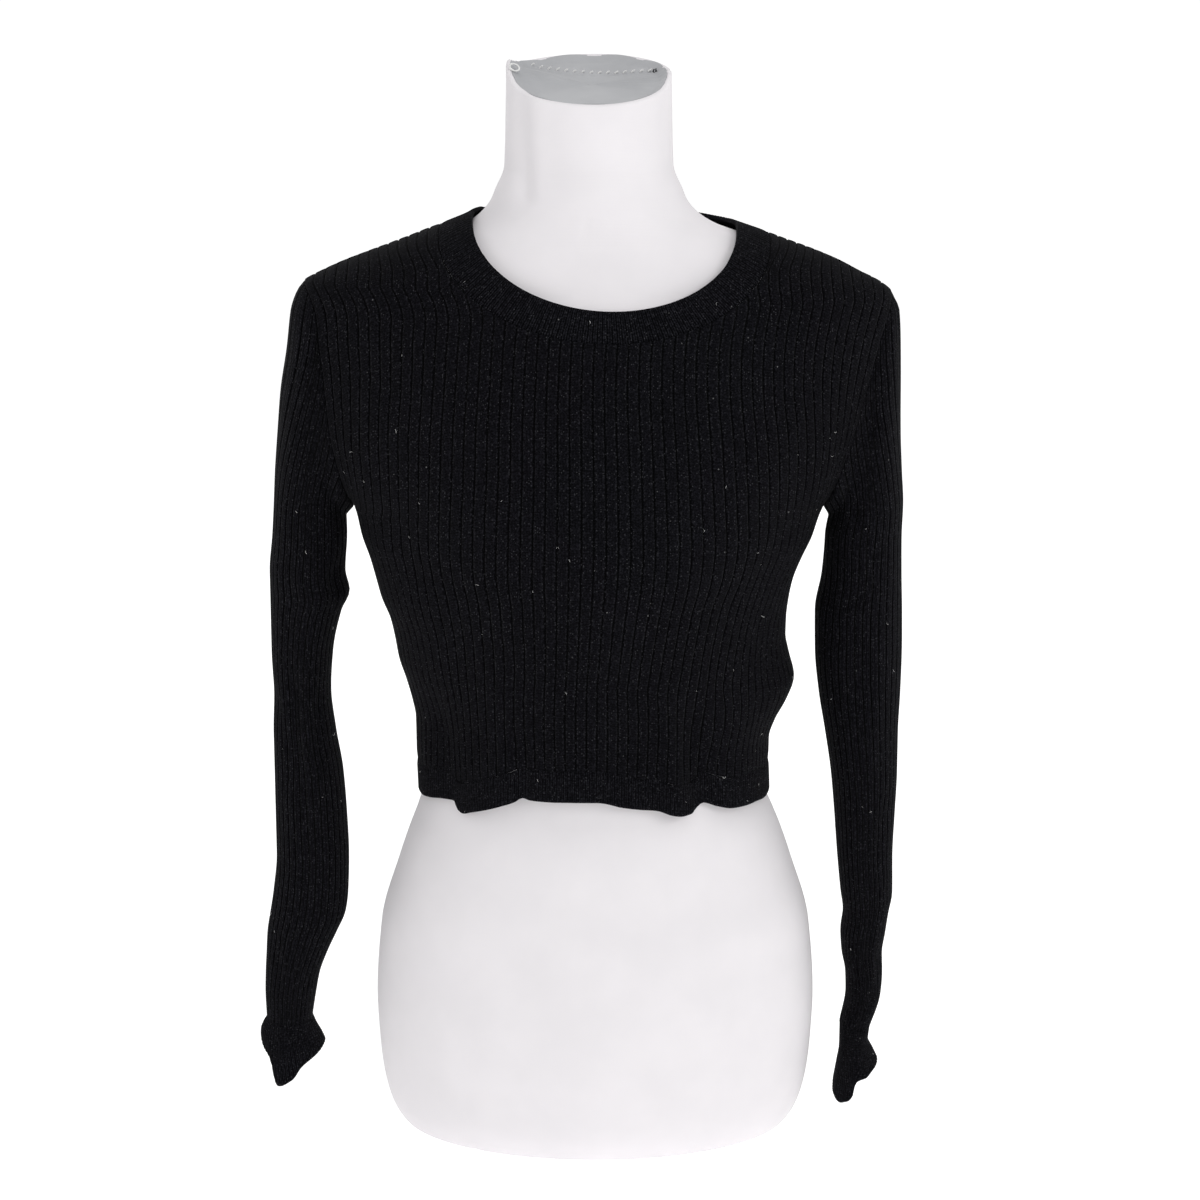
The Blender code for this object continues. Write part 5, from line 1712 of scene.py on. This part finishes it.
@dataclass
class CapSewing:
    """The white stitches across the cap, and the small loops at its two corners."""

    stitches: int = 15
    first: tuple[float, float] = (-42.5, 26.0)
    last: tuple[float, float] = (37.3, 16.5)

    def surface(self, cap: bpy.types.Object, x: float, y: float) -> float:
        """Height of the cap at its vertex nearest to a place, in metres."""
        near = min(cap.data.vertices, key=lambda v: math.hypot(v.co.x - x, v.co.y - y) - v.co.z)
        return near.co.z

    def sewn(self, cap: bpy.types.Object) -> bpy.types.Object:
        """Make the row of stitches."""
        pattern = thread_arc("stitch", 2.6 * MM, 0.62 * MM, 1.25)
        first = Vector((*self.first, 0)) * MM
        last = Vector((*self.last, 0)) * MM
        along = (last - first).normalized()
        parts = []
        for number in range(self.stitches):
            place = first.lerp(last, number / (self.stitches - 1))
            height = self.surface(cap, place.x, place.y)
            parts.append(copied(pattern, (place.x, place.y, height + 0.7 * MM), along,
                                Vector((0, 0, 1))))
        bpy.data.objects.remove(pattern)
        return joined("cap_stitches", parts)

    def corner_loop(self) -> bpy.types.Object:
        """Make the small white loop at the wearer's right corner."""
        deselect()
        bpy.ops.mesh.primitive_torus_add(
            location=(-0.0538, -0.009, 0.7487), rotation=(1.1, 0.35, 0.2),
            major_radius=0.0034, minor_radius=0.0007, major_segments=24, minor_segments=8)
        loop = bpy.context.view_layer.objects.active
        loop.name = loop.data.name = "cap_loop"
        loop.scale = (1.0, 0.72, 1.0)
        settle(loop)
        loop.data.shade_smooth()
        return loop

    def corner_knot(self, cap: bpy.types.Object) -> bpy.types.Object:
        """Make the small dark knot at the wearer's left corner."""
        pattern = thread_arc("knot_turn", 1.1 * MM, 0.55 * MM, 4.6, steps=12)
        x, y = 0.0405, 0.0135
        height = self.surface(cap, x, y) + 0.8 * MM
        parts = [copied(pattern, (x, y, height), Vector((1, 0.3, 0.2)), Vector((0, 0, 1))),
                 copied(pattern, (x + 0.001, y, height + 0.0006), Vector((0.2, 1, 0.1)),
                        Vector((0, 0, 1)), 0.9)]
        bpy.data.objects.remove(pattern)
        return joined("cap_knot", parts)


@dataclass
class Lint:
    """Short pale fibres that cling to the knit."""

    count: int = 150

    def build(self, cloth: Sequence[bpy.types.Object]) -> bpy.types.Object:
        """Make the fibres.

        Args:
            cloth: the knitted pieces that they cling to.
        Returns:
            One piece with all the fibres.
        """
        chance = np.random.default_rng(SEED)
        patterns = [thread_arc("fibre", radius * MM, 0.09 * MM, turn, sides=3, steps=5)
                    for radius, turn in ((1.6, 1.7), (2.6, 1.0), (0.9, 3.6))]
        areas = np.array([len(piece.data.vertices) for piece in cloth], float)
        picks = chance.choice(len(cloth), self.count, p=areas / areas.sum())
        parts = []
        for pick in picks:
            piece = cloth[pick]
            outer_count = len(piece.data.vertices) * 3 // 4
            vertex = piece.data.vertices[int(chance.integers(0, outer_count))]
            normal = Vector(vertex.normal)
            lean = Vector(chance.normal(size=3)).cross(normal).normalized()
            pattern = patterns[int(chance.integers(0, len(patterns)))]
            place = Vector(vertex.co) + normal * (0.15 * MM)
            flat = (normal + lean.cross(normal) * float(chance.uniform(1.5, 3.0))).normalized()
            parts.append(copied(pattern, place, lean, flat, float(chance.uniform(0.7, 1.3))))
        for pattern in patterns:
            bpy.data.objects.remove(pattern)
        return joined("lint", parts)


# ------------------------------------------------------------------ studio

@dataclass(frozen=True)
class SoftLamp:
    """One soft lamp of the studio."""

    name: str
    place: tuple[float, float, float]
    size: float
    power: float


LAMPS = (
    SoftLamp("key", (1.9, -2.3, 1.7), 1.6, 22.0),
    SoftLamp("fill", (-2.2, -2.0, 1.2), 2.0, 4.0),
    SoftLamp("top", (0.2, -0.3, 2.6), 1.8, 9.0),
    SoftLamp("rear", (-0.6, 2.2, 1.8), 1.8, 10.0),
)


@dataclass
class Studio:
    """Camera, lamps, sky and a pale floor."""

    eye: tuple[float, float, float] = (0.0035, -1.9563, 0.7976)
    elevation: float = 12.0
    lens: float = 85.71
    sky: float = 0.6
    seen_sky: float = 1.05

    def camera(self) -> None:
        """Place the camera."""
        data = bpy.data.cameras.new("camera")
        data.lens = self.lens
        data.sensor_width = 36.0
        camera = bpy.data.objects.new("camera", data)
        camera.location = self.eye
        camera.rotation_euler = (math.radians(90 - self.elevation), 0, 0)
        bpy.context.scene.collection.objects.link(camera)
        bpy.context.scene.camera = camera

    def lamps(self) -> None:
        """Place the lamps and the even sky."""
        for lamp in LAMPS:
            data = bpy.data.lights.new(lamp.name, "AREA")
            data.shape = "DISK"
            data.size = lamp.size
            data.energy = lamp.power
            thing = bpy.data.objects.new(lamp.name, data)
            thing.location = lamp.place
            aim = Vector((0, 0, 0.45)) - Vector(lamp.place)
            thing.rotation_euler = aim.to_track_quat("-Z", "Y").to_euler()
            bpy.context.scene.collection.objects.link(thing)
        world = bpy.data.worlds.new("sky")
        world.use_nodes = True
        tree = world.node_tree
        sky = tree.nodes["Background"]
        sky.inputs["Color"].default_value = (1.0, 1.0, 1.0, 1.0)
        ray = tree.nodes.new("ShaderNodeLightPath")
        strength = tree.nodes.new("ShaderNodeMapRange")
        strength.inputs["To Min"].default_value = self.sky
        strength.inputs["To Max"].default_value = self.seen_sky
        tree.links.new(ray.outputs["Is Camera Ray"], strength.inputs["Value"])
        tree.links.new(strength.outputs["Result"], sky.inputs["Strength"])
        bpy.context.scene.world = world
        bpy.context.scene.view_settings.view_transform = "Standard"

    def sweep(self) -> bpy.types.Object:
        """Make the floor."""
        deselect()
        bpy.ops.mesh.primitive_plane_add(size=1.0, location=(0, 0, -0.0005))
        floor = bpy.context.view_layer.objects.active
        floor.name = "studio_floor"
        floor.scale = (60.0, 60.0, 1.0)
        settle(floor)
        bpy.ops.object.mode_set(mode="EDIT")
        bpy.ops.mesh.select_all(action="SELECT")
        bpy.ops.mesh.subdivide(number_cuts=3)
        bpy.ops.object.mode_set(mode="OBJECT")
        return floor


# ------------------------------------------------------------------ assembly

@dataclass(frozen=True)
class ClothCut:
    """The cut of a knitted piece: flat size and area in metres, and how it is held."""

    node: str
    flat: tuple[float, float]
    area: float
    held: str


CUTS = {
    "front_knit": ClothCut("front", (0.470, 0.372), 0.144, "draped"),
    "back_knit": ClothCut("back", (0.470, 0.385), 0.154, "draped"),
    "neckband_knit": ClothCut("neckband", (0.680, 0.024), 0.0158, "stretched"),
    "hem_knit": ClothCut("hem_band", (0.700, 0.024), 0.0166, "stretched"),
    "sleeve_right_knit": ClothCut("sleeve_right", (0.240, 0.540), 0.0860, "hung"),
    "sleeve_left_knit": ClothCut("sleeve_left", (0.240, 0.540), 0.0820, "hung"),
    "cuff_right_knit": ClothCut("cuff_right", (0.130, 0.040), 0.0041, "hung"),
    "cuff_left_knit": ClothCut("cuff_left", (0.130, 0.050), 0.0048, "hung"),
}


def dress(piece: bpy.types.Object, material: bpy.types.Material) -> None:
    """Give a piece its finish and its body."""
    piece.data.materials.clear()
    piece.data.materials.append(material)
    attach(piece, "root")
    low = min(vertex.co.z for vertex in piece.data.vertices)
    LOG.info("%s: %d faces, lowest %.4f", piece.name, len(piece.data.polygons), low)


def knitted() -> list[bpy.types.Object]:
    """Make the sweater's eight pieces."""
    cut = SweaterCut()
    panels = {side: Panel(cut, side) for side in Side}
    pieces = [panel.build() for panel in panels.values()]
    front = cut.skeleton(Side.FRONT)
    back = cut.skeleton(Side.BACK)
    pieces.append(Neckband(cut).build(front, back))
    pieces.append(HemBand(cut).build())
    sleeves = (
        Sleeve(cut, "sleeve_right", -1.0, RIGHT_SLEEVE_LEVELS, RIGHT_CREASES),
        Sleeve(cut, "sleeve_left", 1.0, LEFT_SLEEVE_LEVELS, LEFT_CREASES),
    )
    for sleeve in sleeves:
        pieces.append(sleeve.build(panels[Side.FRONT].edges, panels[Side.BACK].edges))
    pieces.append(Cuff(cut, "cuff_right", -1.0, sleeves[0].end, RIGHT_CUFF,
                       RIGHT_CUFF_EDGE).build())
    pieces.append(Cuff(cut, "cuff_left", 1.0, sleeves[1].end, LEFT_CUFF,
                       LEFT_CUFF_EDGE).build())
    return pieces


def main() -> None:
    """Build, dress and light the whole object."""
    logging.basicConfig(level=logging.INFO, format="%(message)s")
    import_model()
    deselect()
    studio = Studio()
    studio.camera()
    studio.lamps()
    wide = KnitFinish("rib_knit", 4.0, 1.8).build()
    sleeve_knit = KnitFinish("sleeve_rib_knit", 2.0, 1.9, groove=0.2).build()
    fine = KnitFinish("fine_rib_knit", 1.0, 1.7, groove=0.24).build()
    finishes = {"front_knit": wide, "back_knit": wide, "sleeve_right_knit": sleeve_knit,
                "sleeve_left_knit": sleeve_knit}
    cloth = knitted()
    for piece in cloth:
        cut = CUTS[piece.name]
        dress(piece, finishes.get(piece.name, fine))
        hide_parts(cut.node)
    form = DressForm()
    cover = form.build(SweaterCut().torso)
    dress(cover, CoverFinish("cover_jersey", (0.80, 0.775, 0.795, 1),
                             (0.765, 0.742, 0.762, 1)).build())
    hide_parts("dress_form")
    cap = form.cap()
    # The cap is the cover's jersey; its darker grey is painted shade for the dimmer light on its
    # upward face.
    dress(cap, CoverFinish("cap_painted_shade_jersey", (0.47, 0.475, 0.49, 1),
                           (0.38, 0.385, 0.40, 1)).build())
    sewing = CapSewing()
    white = ThreadFinish("white_thread", (0.85, 0.85, 0.84, 1)).build()
    dark = ThreadFinish("dark_thread", (0.03, 0.03, 0.035, 1)).build()
    dress(sewing.sewn(cap), white)
    dress(sewing.corner_loop(), white)
    dress(sewing.corner_knot(cap), dark)
    dress(Lint().build(cloth), white)
    floor = studio.sweep()
    floor.data.materials.append(StudioFinish().build())


if __name__ == "__main__":
    main()
